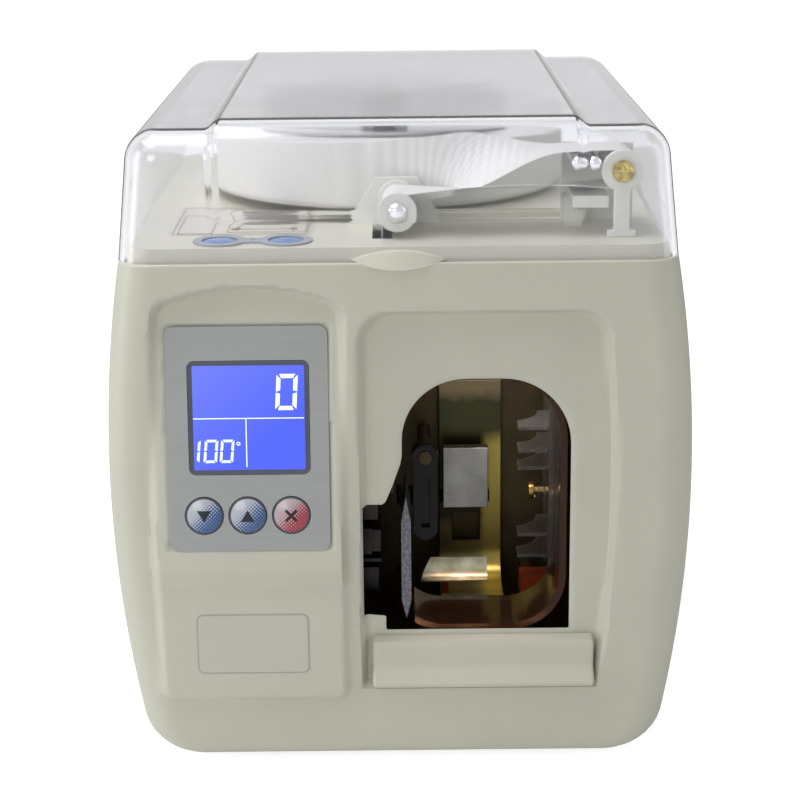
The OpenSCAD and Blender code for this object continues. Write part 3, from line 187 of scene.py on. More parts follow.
def blend_colours(tree, factor, first, second):
    """The first colour where the factor is 0, the second where it is 1."""
    mix = add_node(tree, "ShaderNodeMix", {0: factor, 6: first, 7: second}, data_type="RGBA")
    return mix.outputs[2]


def between(tree, value, low, high, out_low=0.0, out_high=1.0):
    """Maps a value from one range onto another and stops at its ends."""
    inputs = {"Value": value, "From Min": low, "From Max": high, "To Min": out_low, "To Max": out_high}
    return add_node(tree, "ShaderNodeMapRange", inputs).outputs["Result"]


def noise_at(tree, place, step, detail=2.0, stretch=(1, 1, 1)):
    """Noise whose spots are about a step in millimetres across."""
    turned = add_node(tree, "ShaderNodeMapping", {"Vector": place, "Scale": stretch}).outputs["Vector"]
    inputs = {"Vector": turned, "Scale": 1 / (step * MM), "Detail": detail}
    return add_node(tree, "ShaderNodeTexNoise", inputs).outputs["Fac"]


def raise_grain(tree, shader, height, depth, strength=1.0):
    """Bump from a height, as deep as a depth in millimetres."""
    inputs = {"Height": height, "Distance": depth * MM, "Strength": strength}
    bump = add_node(tree, "ShaderNodeBump", inputs)
    tree.links.new(bump.outputs["Normal"], shader.inputs["Normal"])


def moulded(name, tint, roughness, grain=0.9, depth=0.03, mottling=0.04, coat=0.0, ior=1.53):
    """A moulding's spark-eroded skin: fine even grain and faint unevenness in colour and gloss.
    Grain and depth are millimetres. The real grain is near 0.2 mm; it is drawn coarser so that it shows."""
    material, tree, shader, place = begin(name, {"IOR": ior, "Coat Weight": coat})
    patches = noise_at(tree, place, 40)
    darker = [c * (1 - mottling) for c in linear(tint)]
    colours = blend_colours(tree, between(tree, patches, 0.35, 0.65), opaque(darker), opaque(tint))
    tree.links.new(colours, shader.inputs["Base Color"])
    fine = noise_at(tree, place, grain, 3.0)
    gloss = between(tree, fine, 0.3, 0.7, roughness - 0.04, roughness + 0.05)
    tree.links.new(gloss, shader.inputs["Roughness"])
    raise_grain(tree, shader, fine, depth, 0.6)
    return material


def clear_moulded(name, tint, roughness, ior, shade, share=1.0):
    """Clear plastic that lets lamp light through to what lies under it."""
    fixed = {"Base Color": opaque(tint), "Transmission Weight": share, "IOR": ior}
    material, tree, shader, place = begin(name, fixed)
    haze = noise_at(tree, place, 25)
    tree.links.new(between(tree, haze, 0.3, 0.7, roughness, roughness + 0.03), shader.inputs["Roughness"])
    path = add_node(tree, "ShaderNodeLightPath").outputs
    through = add_node(tree, "ShaderNodeBsdfTransparent", {"Color": opaque(shade)})
    rays = {0: path["Is Shadow Ray"], 1: path["Is Diffuse Ray"]}
    soft_rays = add_node(tree, "ShaderNodeMath", rays, operation="MAXIMUM").outputs[0]
    inputs = {"Fac": soft_rays, 1: shader.outputs[0], 2: through.outputs[0]}
    mixed = add_node(tree, "ShaderNodeMixShader", inputs)
    tree.links.new(mixed.outputs[0], tree.nodes["Material Output"].inputs["Surface"])
    return material


def metal(name, tint, second, roughness, patch=12, stretch=(1, 1, 1), grain=0.6, depth=0.01):
    """A metal with patches of a second tint and fine marks along its working direction, in millimetres."""
    material, tree, shader, place = begin(name, {"Metallic": 1.0})
    patches = noise_at(tree, place, patch, 3.0)
    colours = blend_colours(tree, between(tree, patches, 0.35, 0.7), opaque(tint), opaque(second))
    tree.links.new(colours, shader.inputs["Base Color"])
    marks = noise_at(tree, place, grain, 3.0, stretch)
    gloss = between(tree, marks, 0.3, 0.7, roughness - 0.06, roughness + 0.08)
    tree.links.new(gloss, shader.inputs["Roughness"])
    raise_grain(tree, shader, marks, depth, 0.5)
    return material


def zinc_painted_light(name):
    """Zinc sheet behind the notes, with painted light and shade in bands: painted shade darkest in the
    middle, painted light on the lower part and the top, and a painted yellow reflection along the right edge.
    """
    material, tree, shader, place = begin(name, {"Metallic": 0.8, "Roughness": 0.34})
    axes = add_node(tree, "ShaderNodeSeparateXYZ", {"Vector": place}).outputs
    waves = noise_at(tree, place, 9)
    wavy = {0: waves, 1: 6 * MM, 2: axes["Z"]}
    height = add_node(tree, "ShaderNodeMath", wavy, operation="MULTIPLY_ADD").outputs[0]
    # bands of painted light: a lit lower part towards the foot, a painted yellow reflection along the right
    # edge, dark olive painted shade higher up and a lit top
    bands = [
        # across, start and stop of the change, tint past it
        (height, at(0, 0, 82).z, at(0, 0, 66).z, "#8d8658"),
        (axes["X"], 37 * MM, 39.5 * MM, "#a3924a"),
        (height, at(0, 0, 116).z, at(0, 0, 124).z, "#3c3d26"),
        (height, at(0, 0, 138).z, at(0, 0, 144).z, "#75684f"),
    ]
    # the darkest tint, in the middle, is painted shade
    tint = opaque("#2b2716")
    for across, start, stop, code in bands:
        tint = blend_colours(tree, between(tree, across, start, stop), tint, opaque(code))
    tree.links.new(tint, shader.inputs["Base Color"])
    raise_grain(tree, shader, waves, 0.05, 0.4)
    return material


def brushed_film(name, tint):
    """Printed brushed film on the control plate: long level streaks, a little sheen of metal."""
    material, tree, shader, place = begin(name, {"Metallic": 0.35})
    streaks = noise_at(tree, place, 0.5, 4.0, (0.02, 1, 1))
    dark, light = ([c * share for c in tint] for share in (0.95, 1.05))
    colours = blend_colours(tree, between(tree, streaks, 0.3, 0.7), opaque(dark), opaque(light))
    tree.links.new(colours, shader.inputs["Base Color"])
    tree.links.new(between(tree, streaks, 0.3, 0.7, 0.36, 0.5), shader.inputs["Roughness"])
    return material


def wound_paper(name):
    """Tape wound on its core: the edges of the turns as faint rings round the reel's middle."""
    material, tree, shader, place = begin(name, {"Roughness": 0.6})
    middle = at(*REEL_AXIS, 0)
    centred = {"Vector": place, "Location": (-middle.x, -middle.y, 0), "Scale": (1, 1, 0)}
    moved = add_node(tree, "ShaderNodeMapping", centred).outputs[0]
    away = add_node(tree, "ShaderNodeVectorMath", {0: moved}, operation="LENGTH").outputs["Value"]
    turn = 1.6 * MM                       # real turns are 0.1 mm; drawn coarser so that they show
    rings = add_node(tree, "ShaderNodeMath", {0: away, 1: 2 * math.pi / turn}, operation="MULTIPLY")
    wave = add_node(tree, "ShaderNodeMath", {0: rings.outputs[0]}, operation="SINE").outputs[0]
    fibres = noise_at(tree, place, 1.2, 4.0)
    both = {0: wave, 1: 0.35, 2: fibres}
    mixed = add_node(tree, "ShaderNodeMath", both, operation="MULTIPLY_ADD").outputs[0]
    pair = blend_colours(tree, between(tree, mixed, 0.0, 1.0), opaque("#e2e2de"), opaque("#f2f2ef"))
    tree.links.new(pair, shader.inputs["Base Color"])
    raise_grain(tree, shader, mixed, 0.05, 0.4)
    return material


def wound_board(name):
    """Wound cardboard of the core: brown fibres with a darker speckle."""
    material, tree, shader, place = begin(name, {"Roughness": 0.85})
    fibres = noise_at(tree, place, 0.8, 5.0, (1, 1, 6))
    pair = blend_colours(tree, between(tree, fibres, 0.3, 0.7), opaque("#8f7350"), opaque("#b39a76"))
    tree.links.new(pair, shader.inputs["Base Color"])
    raise_grain(tree, shader, fibres, 0.06, 0.6)
    return material


def lacquered_board(name):
    """Green solder lacquer on a circuit board, with the copper tracks faintly raised under it."""
    material, tree, shader, place = begin(name, {"Roughness": 0.3})
    lands = {"Vector": place, "Scale": 1 / (14 * MM), "Mortar Size": 0.03}
    tracks = add_node(tree, "ShaderNodeTexBrick", lands).outputs["Fac"]
    pair = blend_colours(tree, tracks, opaque("#12502f"), opaque("#2b7a48"))
    tree.links.new(pair, shader.inputs["Base Color"])
    raise_grain(tree, shader, tracks, 0.04, 0.6)
    return material


def lit_display(name, tint):
    """Blue display lit from the edge, lighter at its upper left, behind clear film."""
    unlit = [c * 0.1 for c in tint]
    fixed = {"Base Color": opaque(unlit), "Emission Strength": 0.95, "Roughness": 0.12}
    material, tree, shader, place = begin(name, fixed)
    axes = add_node(tree, "ShaderNodeSeparateXYZ", {"Vector": place}).outputs
    up_left = {0: axes["Z"], 1: axes["X"]}
    slant = add_node(tree, "ShaderNodeMath", up_left, operation="SUBTRACT").outputs[0]
    lower_right, upper_left = 0.205, 0.262          # height less distance to the right, in metres
    pale = [c * 0.86 + 0.14 * p for c, p in zip(tint, linear("#cfd8ff"))]
    glow = blend_colours(tree, between(tree, slant, lower_right, upper_left), opaque(tint), opaque(pale))
    tree.links.new(glow, shader.inputs["Emission Color"])
    return material


def lit_ink(name, tint):
    """Digits of the display: the backlight through clear segments."""
    fixed = {"Base Color": opaque(tint), "Emission Strength": 0.9, "Roughness": 0.3}
    material, tree, shader, place = begin(name, fixed)
    cells = noise_at(tree, place, 0.8)
    darker = [c * 0.94 for c in tint]
    glow = blend_colours(tree, between(tree, cells, 0.3, 0.7), opaque(darker), opaque(tint))
    tree.links.new(glow, shader.inputs["Emission Color"])
    return material


def printed_dots(name, middle, silver, ink, step):
    """Button film printed from behind: silver dots that give way to the colour towards the lower right."""
    material, tree, shader, place = begin(name, {"Roughness": 0.28, "Coat Weight": 0.5})
    upright = (-(math.pi / 2 - PANEL_TILT), 0, 0)
    local = add_node(tree, "ShaderNodeMapping", {"Vector": place, "Location": -middle}).outputs[0]
    flat = add_node(tree, "ShaderNodeMapping", {"Vector": local, "Rotation": upright}).outputs[0]
    turned = {"Vector": flat, "Rotation": (0, 0, math.radians(45))}
    diagonal = add_node(tree, "ShaderNodeMapping", turned).outputs[0]
    lattice = {"Vector": diagonal, "Scale": 1 / step, "Randomness": 0.0}
    dots = add_node(tree, "ShaderNodeTexVoronoi", lattice, voronoi_dimensions="2D").outputs["Distance"]
    axes = add_node(tree, "ShaderNodeSeparateXYZ", {"Vector": flat}).outputs
    low_right = {0: axes["X"], 1: axes["Y"]}
    across = add_node(tree, "ShaderNodeMath", low_right, operation="SUBTRACT").outputs[0]
    size = between(tree, across, -7 * MM, 7 * MM, 0.7, 0.1)
    inside = add_node(tree, "ShaderNodeMath", {0: dots, 1: size}, operation="LESS_THAN").outputs[0]
    tree.links.new(blend_colours(tree, inside, opaque(ink), opaque(silver)), shader.inputs["Base Color"])
    return material


def paper_floor(name):
    """White paper under the machine: it stays white to the eye and keeps the soft shadow."""
    material, tree, shader, place = begin(name, {"Roughness": 0.9})
    tone = blend_colours(tree, noise_at(tree, place, 60), opaque("#f4f4f4"), opaque("#f8f8f8"))
    tree.links.new(tone, shader.inputs["Base Color"])
    path = add_node(tree, "ShaderNodeLightPath").outputs
    rays = {0: path["Is Camera Ray"], 1: path["Is Transmission Ray"]}
    seen = add_node(tree, "ShaderNodeMath", rays, operation="MAXIMUM").outputs[0]
    lift = add_node(tree, "ShaderNodeMath", {0: seen, 1: 0.78}, operation="MULTIPLY").outputs[0]
    glow = add_node(tree, "ShaderNodeEmission", {"Color": (1, 1, 1, 1), "Strength": lift})
    both = add_node(tree, "ShaderNodeAddShader", {0: shader.outputs[0], 1: glow.outputs[0]})
    tree.links.new(both.outputs[0], tree.nodes["Material Output"].inputs["Surface"])
    return material


MATERIALS = {}


def make_materials():
    tints = bpy.context.scene.strap_colours
    shaded = [c * 0.72 for c in tints.ivory]
    fine = {"grain": 0.7, "depth": 0.01}
    film = {"grain": 0.8, "depth": 0.01}
    ink = {"grain": 0.8, "depth": 0.005}
    enamel = {"grain": 1.0, "depth": 0.01, "mottling": 0.1, "coat": 0.3}
    MATERIALS.update({
        # opaque mouldings: an even soft sheen over a fine grain
        "ivory_plastic": moulded("Moulded ABS ivory", tints.ivory, 0.42),
        "groove": moulded("Moulded ABS ivory in shade", shaded, 0.5),
        "cream_plastic": moulded("Moulded ABS cream", tints.cream, 0.36),
        "grey_plastic": moulded("Moulded ABS grey", "#9fa4ab", 0.34),
        "button_rim": moulded("Moulded ABS dark grey", "#4a4d57", 0.3),
        "key_blue": moulded("Moulded ABS blue", tints.key_blue, 0.25, mottling=0.05, coat=0.4, **fine),
        "rocker_red": moulded("Moulded nylon red", "#a51712", 0.22, mottling=0.08, coat=0.5, **fine),
        "sensor_orange": moulded("Moulded nylon orange", "#8c3714", 0.35),
        "dark_plastic": moulded("Moulded nylon black", "#1d1d1f", 0.26, 0.8, 0.02, mottling=0.1),
        "finger_black": moulded("Polished nylon black", "#0b0b0d", 0.2, 0.8, 0.004, mottling=0.1, ior=1.3),
        # turned, drawn and ground parts: their tool marks are too fine to see one by one
        "white_plastic": moulded("Turned acetal white", "#ecece6", 0.3, mottling=0.02, **fine),
        "motor_steel": moulded("Drawn steel can black enamel", "#3a3a3e", 0.32, **enamel),
        "roller_rubber": moulded("Ground rubber black", "#202021", 0.75, 0.7, 0.05, mottling=0.1),
        # clear and smoked plastic: gloss on the skin, what lies behind shows through
        "clear_plastic": clear_moulded("Moulded polycarbonate clear", "#f4f4f8", 0.06, 1.49, "#fdfdfe"),
        "guide_plastic": clear_moulded("Cut polycarbonate clear", "#b8b4b0", 0.06, 1.25, "#dddddd", 0.9),
        "smoked_plastic": clear_moulded("Moulded acrylic smoked brown", "#8a6048", 0.08, 1.3, "#a08070", 0.9),
        "disc_plastic": clear_moulded("Cut acrylic smoked grey", "#9c9ca4", 0.04, 1.3, "#c5c5ca"),
        # printed films and inks: level and a little glossy
        "window_plastic": moulded("Printed film dark grey", "#4e5162", 0.22, mottling=0.03, coat=0.5, **film),
        "film_pale": moulded("Printed film pale", "#d9d6ca", 0.3, mottling=0.03, coat=0.3, **film),
        "plate_bare": moulded("Printed film ivory", "#c5c5b9", 0.3, mottling=0.02, coat=0.2, **film),
        "film_brown": moulded("Printed ink brown", "#8a6f57", 0.35, mottling=0.1, **ink),
        "film_grey": moulded("Printed ink grey", "#77756f", 0.35, mottling=0.1, **ink),
        "sign_dark": moulded("Printed ink dark blue", "#121a2a", 0.3, mottling=0.05, **ink),
        "sign_red": moulded("Printed ink dark red", "#2a0c12", 0.3, mottling=0.05, **ink),
        "panel_paint": brushed_film("Brushed film silver-grey", tints.plate),
        # passivated zinc: a yellow or olive cast in soft patches over bent sheet; the bracket behind the
        # notes carries painted light and shade, and its foot a painted highlight
        "zinc_plate": metal("Yellow passivated zinc on pressed steel", "#9c8d58", "#c9b87a", 0.34),
        "frame_steel": metal("Olive passivated zinc on pressed steel", "#423c2d", "#574e3a", 0.42, 30),
        # the bracket foot's zinc, lightened as a painted highlight along its bend
        "zinc_painted_highlight": metal("Passivated zinc on bent sheet with painted highlight", "#aaa483", "#dcd9c6", 0.34, 8),
        "screw_zinc": metal("Yellow passivated zinc on a screw", "#8a7a44", "#d2c070", 0.22, 3),
        "zinc_painted_light": zinc_painted_light("Passivated zinc with painted light and shade"),
        # bare and plated metals: fine marks, drawn out along the way that sheet and bars were ground
        "steel": metal("Ground steel", "#9d9da2", "#b8b8bc", 0.36, stretch=(1, 1, 8)),
        "blued_steel": metal("Blued steel", "#232224", "#3a3735", 0.3, stretch=(1, 1, 8)),
        "blade_steel": metal("Ground steel speckled", "#5a5a60", "#7f7f86", 0.3, 1.6, grain=0.9, depth=0.02),
        "bright_steel": metal("Bright nickel on steel", "#d6d6d8", "#e4e4e6", 0.16),
        "stop_steel": metal("Satin stainless sheet", "#83837f", "#9a9a95", 0.36, stretch=(1, 1, 10)),
        "brass": metal("Turned brass", "#b08a48", "#c9a763", 0.28),
        # paper, board and the lit display: each maker says what it shows
        "tape_paper": wound_paper("Wound paper tape"),
        "core_board": wound_board("Wound cardboard"),
        "board_green": lacquered_board("Lacquered circuit board"),
        "display_blue": lit_display("Lit display blue", tints.lcd),
        "display_ink": lit_ink("Lit display digits", tints.lcd_ink),
    })


# ---- Modelling helpers -----------------------------------------------------------

def only(obj):
    """Makes one object the selected and active one."""
    bpy.ops.object.select_all(action="DESELECT")
    obj.select_set(True)
    bpy.context.view_layer.objects.active = obj


def editing(obj):
    """Edit mode with nothing selected."""
    only(obj)
    bpy.ops.object.mode_set(mode="EDIT")
    bpy.ops.mesh.select_all(action="DESELECT")


def done():
    bpy.ops.object.mode_set(mode="OBJECT")


def pick(obj, kind, test):
    """Selects the vertices, edges or faces for which the test holds."""
    bpy.ops.mesh.select_mode(type=kind)
    bpy.ops.mesh.select_all(action="DESELECT")
    shape = bmesh.from_edit_mesh(obj.data)
    parts = {"VERT": shape.verts, "EDGE": shape.edges, "FACE": shape.faces}[kind]
    for part in parts:
        if test(part):
            part.select_set(True)
    shape.select_flush_mode()
    bmesh.update_edit_mesh(obj.data)


def along(edge, axis, slack=0.02):
    """True where an edge runs along an axis."""
    run = (edge.verts[1].co - edge.verts[0].co).normalized()
    return abs(run[axis]) > 1 - slack


def modified(obj, kind, **settings):
    """Adds a modifier and applies it."""
    only(obj)
    modifier = obj.modifiers.new(kind, kind)
    for key, value in settings.items():
        setattr(modifier, key, value)
    bpy.ops.object.modifier_apply(modifier=modifier.name)


def softened(obj, width, segments=3):
    """Rounds a piece's sharp edges over a width in millimetres."""
    sharp = math.radians(38)
    modified(obj, "BEVEL", width=width * MM, segments=segments, limit_method="ANGLE", angle_limit=sharp)


def cut_away(obj, tool):
    """Takes a tool's shape out of a piece, and the tool out of the scene."""
    modified(obj, "BOOLEAN", operation="DIFFERENCE", object=tool, solver="EXACT")
    bpy.data.objects.remove(tool)


def block(name, low, high):
    """A cube at its size and place, as the start of a piece."""
    bpy.ops.object.select_all(action="DESELECT")
    low, high = Vector(low), Vector(high)
    bpy.ops.mesh.primitive_cube_add(size=1, location=(low + high) / 2, scale=high - low)
    obj = bpy.context.object
    obj.name = name
    bpy.ops.object.transform_apply(location=True, rotation=True, scale=True)
    return obj


def round_plate(name, *millimetres):
    """A plate with round corners about the origin, its front edge softened.
    Its width, height, corner radius, front, thickness and softened width are in millimetres."""
    width, height, radius, front, thickness, edge = (size * MM for size in millimetres)
    obj = block(name, (-width / 2, front, -height / 2), (width / 2, front + thickness, height / 2))
    editing(obj)
    pick(obj, "EDGE", lambda e: along(e, 1))
    bpy.ops.mesh.bevel(offset=radius, segments=6, affect="EDGES")
    pick(obj, "FACE", lambda f: f.normal.y < -0.9)
    bpy.ops.mesh.region_to_loop()
    bpy.ops.mesh.bevel(offset=edge, segments=2, affect="EDGES")
    done()
    return obj


def placed(obj, matrix):
    """Moves a piece by its mesh, so that its object stays at the origin."""
    obj.data.transform(matrix)
    obj.data.update()
    return obj


def joined(first, *others):
    """One piece of several, under the first one's name."""
    bpy.ops.object.select_all(action="DESELECT")
    for obj in (first, *others):
        obj.select_set(True)
    bpy.context.view_layer.objects.active = first
    bpy.ops.object.join()
    return first


def from_points(name, points, faces):
    """A mesh from points in metres and faces."""
    mesh = bpy.data.meshes.new(name)
    mesh.from_pydata([tuple(p) for p in points], [], faces)
    mesh.update()
    obj = bpy.data.objects.new(name, mesh)
    bpy.context.scene.collection.objects.link(obj)
    return obj


def finish(obj, body, materials, angle=35, replaces=()):
    """Gives a piece its materials, smooth faces and body, and hides the nodes that it stands for."""
    only(obj)
    for i, material in enumerate(materials):
        if i < len(obj.material_slots):
            obj.material_slots[i].material = MATERIALS[material]
        else:
            obj.data.materials.append(MATERIALS[material])
    bpy.ops.object.shade_smooth_by_angle(angle=math.radians(angle))
    modified(obj, "WEIGHTED_NORMAL", keep_sharp=True)
    obj.data.name = obj.name
    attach(obj, body)
    if replaces:
        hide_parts(*replaces)


def node_body(node):
    return NODES[node]["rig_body"]


def copied(node, name, flatten=True):
    """A copy of a solid's mesh, its flat triangles merged into clean faces unless that is switched off."""
    mesh = NODES[node].data.copy()
    obj = bpy.data.objects.new(name, mesh)
    bpy.context.scene.collection.objects.link(obj)
    editing(obj)
    bpy.ops.mesh.select_all(action="SELECT")
    bpy.ops.mesh.remove_doubles(threshold=0.002 * MM)
    if flatten:
        bpy.ops.mesh.dissolve_limited(angle_limit=math.radians(0.4))
    done()
    return obj


# ---- Cabinet ---------------------------------------------------------------------

FLANK_R, FLANK_X, WAIST_Z = 565.0, -440.0, 124.0        # arc of the right flank, widest at this height
LOW_CORNER_X, LOW_CORNER_R, LOW_CORNER_TOP = 95.83, 19.0, 15.35
BACK_OPENING = (14.0, 203.0)                            # heights that the rear panel closes between
FRONT_COLUMNS, SIDE_COLUMNS, BACK_COLUMNS = 165, 13, 17
BUTTON_PLACES = (-19.2, -0.8, 17.6)                     # across the panel from its middle
BUTTON_UP = -32.6


def half_width(z):
    """Half the width of the cabinet at a height."""
    if z < LOW_CORNER_TOP:
        return LOW_CORNER_X + math.sqrt(max(0, LOW_CORNER_R ** 2 - (LOW_CORNER_R - z) ** 2))
    return FLANK_X + math.sqrt(FLANK_R ** 2 - (z - WAIST_Z) ** 2)


def arc(cx, cz, r, start, stop, count):
    """Points along an arc between two angles in degrees."""
    return [(cx + r * math.cos(math.radians(a)), cz + r * math.sin(math.radians(a)))
            for a in np.linspace(start, stop, count)]


def housing_outline():
    """Outline of the display housing, with its arched upper edge."""
    return np.array([
        (-98.8, 27), (-29, 27), *arc(-29, 32, 5, -90, 0, 6), *arc(-33, 195.8, 9, 0, 68, 8),
        *arc(-62.5, 109.7, 100, 70.8, 110.2, 24), *arc(-93.5, 195.8, 9, 112, 180, 8),
        (-105.5, 100), (-103.9, 32), *arc(-98.8, 32, 5, 180, 270, 6),
    ])


def field_outline():
    """Outline of the sunk field; its right edge follows the flank."""
    edge_r = FLANK_R - 34
    right = [(FLANK_X + math.sqrt(edge_r ** 2 - (z - WAIST_Z) ** 2), z) for z in np.linspace(32, 182, 16)]
    upper = [*arc(74.4, 185.3, 13, 6, 90, 9), *arc(-3.5, 185.3, 13, 90, 180, 9)]
    return np.array([(-16.5, 32), *right, *upper])


def opening_outline():
    """Outline of the note opening with the notch for the sealing head."""
    return np.array([(-7, 55.5), (72.5, 55.5), (72.5, 139.5), *arc(43.5, 139.5, 29, 0, 90, 14)[1:],
                     *arc(27.5, 141.5, 27, 90, 180, 13), (0.5, 135), (-0.2, 131), (-1.5, 127.5),
                     (-3.6, 121.5), (-6.5, 114.6), (-7.2, 113.6), (-8.3, 113), (-16.5, 113),
                     (-16.5, 63), (-7, 62)])


def distance_to(points, outline):
    """Signed distance of points to a closed outline, positive inside, and the nearest points on it."""
    a, b = outline, np.roll(outline, -1, axis=0)
    run = b - a
    no_length, no_rise = 1e-9, 1e-12
    keep = (run ** 2).sum(1) > no_length
    a, run = a[keep], run[keep]
    to = points[:, None, :] - a[None]
    share = np.clip((to * run).sum(2) / (run ** 2).sum(1), 0, 1)
    near = a[None] + share[..., None] * run[None]
    gaps = np.linalg.norm(points[:, None, :] - near, axis=2)
    best = gaps.argmin(1)
    rows = np.arange(len(points))
    z0, z1 = a[None, :, 1], a[None, :, 1] + run[None, :, 1]
    pz = points[:, 1:2]
    crosses = (z0 > pz) != (z1 > pz)
    rise = np.where(np.abs(run[:, 1]) > no_rise, run[:, 1], no_rise)
    cut = a[None, :, 0] + (pz - z0) * run[None, :, 0] / rise[None]
    inside = (crosses & (points[:, :1] < cut)).sum(1) % 2 == 1
    return np.where(inside, 1, -1) * gaps[rows, best], near[rows, best]


def border_points(grid, outline):
    """Which points of a grid lie between cells inside and outside an outline, and their places on it."""
    cells = (grid[:-1, :-1] + grid[1:, :-1] + grid[:-1, 1:] + grid[1:, 1:]) / 4
    inside = (distance_to(cells.reshape(-1, 2), outline)[0] > 0).reshape(cells.shape[:2])
    padded = np.pad(inside, 1)
    around = np.stack([padded[:-1, :-1], padded[1:, :-1], padded[:-1, 1:], padded[1:, 1:]])
    border = (around.any(0) & ~around.all(0)).reshape(-1)
    return border, distance_to(grid.reshape(-1, 2), outline)[1]


def eased(values):
    """A smooth step from 0 to 1."""
    t = np.clip(values, 0, 1)
    return t * t * (3 - 2 * t)


def on_panel(x, z):
    """Places across and up the sloping panel, from its middle, of points seen from the front."""
    return x - PANEL_MIDDLE[0], (z - PANEL_MIDDLE[2]) / math.cos(PANEL_TILT)


def face_depth(z):
    """Depth of the display housing's face behind the flat front: sloping above the chin, upright below."""
    chin_low, chin_high, proud = 78, 88, 7
    sloped = PANEL_SLOPE * (z - chin_high) - proud
    chin = -proud / 2 - proud / 2 * eased((z - chin_low) / (chin_high - chin_low))
    return np.where(z > chin_high, sloped, chin)


def cabinet_ring(corner):
    """Columns round the cabinet from the front's left end, for a corner radius. Each holds its share of the
    flat half width, its part of the radius sideways, the depth of its arc's centre and its part in depth."""
    front_arc = [math.radians(a) for a in np.arange(-78.75, 0, 11.25)]
    back_arc = [math.radians(a) for a in (11.25, 22.5, 33.75, 45, 56.25, 66, 73.4)]
    back = CABINET_DEPTH - corner
    depths = list(np.linspace(corner, back, SIDE_COLUMNS))
    right_side = [(1, math.cos(a), corner, math.sin(a)) for a in front_arc]
    right_side += [(1, 1, y, 0) for y in depths]
    right_side += [(1, math.cos(a), back, math.sin(a)) for a in back_arc]
    left_side = [(-share, -part, centre, depth) for share, part, centre, depth in reversed(right_side)]
    front = [(share, 0, corner, -1) for share in np.linspace(-1, 1, FRONT_COLUMNS)]
    rear = [(share, 0, back, 1) for share in np.linspace(1, -1, BACK_COLUMNS)]
    return np.array([*front, *right_side, *rear, *left_side])


def cabinet_heights():
    """Heights of the skin's rings, closest where it curves most."""
    turns = (0, 8, 16, 25, 35, 45, 56, 67, 78.9)
    low_corner = [LOW_CORNER_R * (1 - math.cos(math.radians(a))) for a in turns]
    even = np.round(np.arange(24, 218, 1.3), 3)
    rim = (219.0, 219.4, 219.75, CABINET_TOP)
    wanted = sorted({*low_corner, *even, *rim, *BACK_OPENING, 19.0, 22.0})
    least = 0.2
    return [z for i, z in enumerate(wanted) if i == 0 or z - wanted[i - 1] > least or z in BACK_OPENING]


def plain_skin(heights, ring, corner):
    """Points of the skin before its front is shaped, one ring at each height."""
    soft, rim = 2.5, 1.0                  # radii of the lower front and back edges and of the upper rim
    grid = np.zeros((len(heights), len(ring), 3))
    for i, z in enumerate(heights):
        over = max(0, z - CABINET_TOP + rim)
        drawn = rim - math.sqrt(rim ** 2 - over ** 2)
        pull = drawn
        if z < soft:
            pull += soft - math.sqrt(soft ** 2 - (soft - z) ** 2)
        flat_half = half_width(z) - drawn - corner
        grid[i, :, 0] = ring[:, 0] * flat_half + ring[:, 1] * corner
        grid[i, :, 1] = ring[:, 2] + ring[:, 3] * (corner - pull)
        grid[i, :, 2] = z
    return grid


def shape_front(grid, opening, sizes):
    """Draws the front out to the display housing and in to the sunk field, and fits it to the opening."""
    rows = len(grid)
    front = grid[:, :FRONT_COLUMNS].reshape(-1, 3)
    flat = front[:, [0, 2]]
    edge, near = border_points(flat.reshape(rows, FRONT_COLUMNS, 2), opening)
    flat = np.where(edge[:, None], near, flat)
    housing, _ = distance_to(flat, housing_outline())
    field, _ = distance_to(flat, field_outline())
    housing_blend, field_blend = sizes.housing_blend / MM, sizes.field_blend / MM
    inner = eased((housing + housing_blend / 2) / housing_blend)
    sunk = eased((field + field_blend / 2) / field_blend)
    across, up = on_panel(flat[:, 0], flat[:, 1])
    pocket_half, pocket_reach, pocket_depth, edge_turn = 34.4, 48.4, 1.1, 0.7
    pocket = (np.abs(across) < pocket_half) & (np.abs(up) < pocket_reach)
    depth = inner * face_depth(flat[:, 1]) + sunk * sizes.field_depth / MM
    depth = depth + np.where(pocket, pocket_depth, 0) + np.where(edge, edge_turn, 0)
    front[:, [0, 2]] = flat
    front[:, 1] += depth
    grid[:, :FRONT_COLUMNS] = front.reshape(rows, FRONT_COLUMNS, 3)


def skin_faces(rows, columns):
    """Faces between the rings, closed round the cabinet, and of its underside as far as the base's hole."""
    faces = []
    following = [(j + 1) % columns for j in range(columns)]
    for i in range(rows - 1):
        low, high = i * columns, (i + 1) * columns
        faces += [(low + j, low + k, high + k, high + j) for j, k in enumerate(following)]
    base = rows * columns
    return faces + [(k, j, base + j, base + k) for j, k in enumerate(following)]


def face_middles(points, faces):
    """The mean of each face's points."""
    return np.array([points[list(face)].mean(0) for face in faces])


def openings(points, plain, faces, opening):
    """Which faces are left out: the note opening, the window and buttons of the panel, and the back."""
    middles = face_middles(points, faces)
    inside, _ = distance_to(face_middles(plain, faces), opening)
    across, up = on_panel(middles[:, 0], middles[:, 2])
    window_x, window_up, window_half, window_reach, button_r = 0.5, 9.2, 24, 22.5, 9.3
    window = (np.abs(across - window_x) < window_half) & (np.abs(up - window_up) < window_reach)
    buttons = np.any([np.hypot(across - x, up - BUTTON_UP) < button_r for x in BUTTON_PLACES], axis=0)
    front_reach, back_reach = 20, 279.3
    at_front = middles[:, 1] < front_reach
    low, high = BACK_OPENING
    at_back = (middles[:, 1] > back_reach) & (middles[:, 2] > low) & (middles[:, 2] < high)
    return (at_front & ((inside > 0) | window | buttons)) | at_back


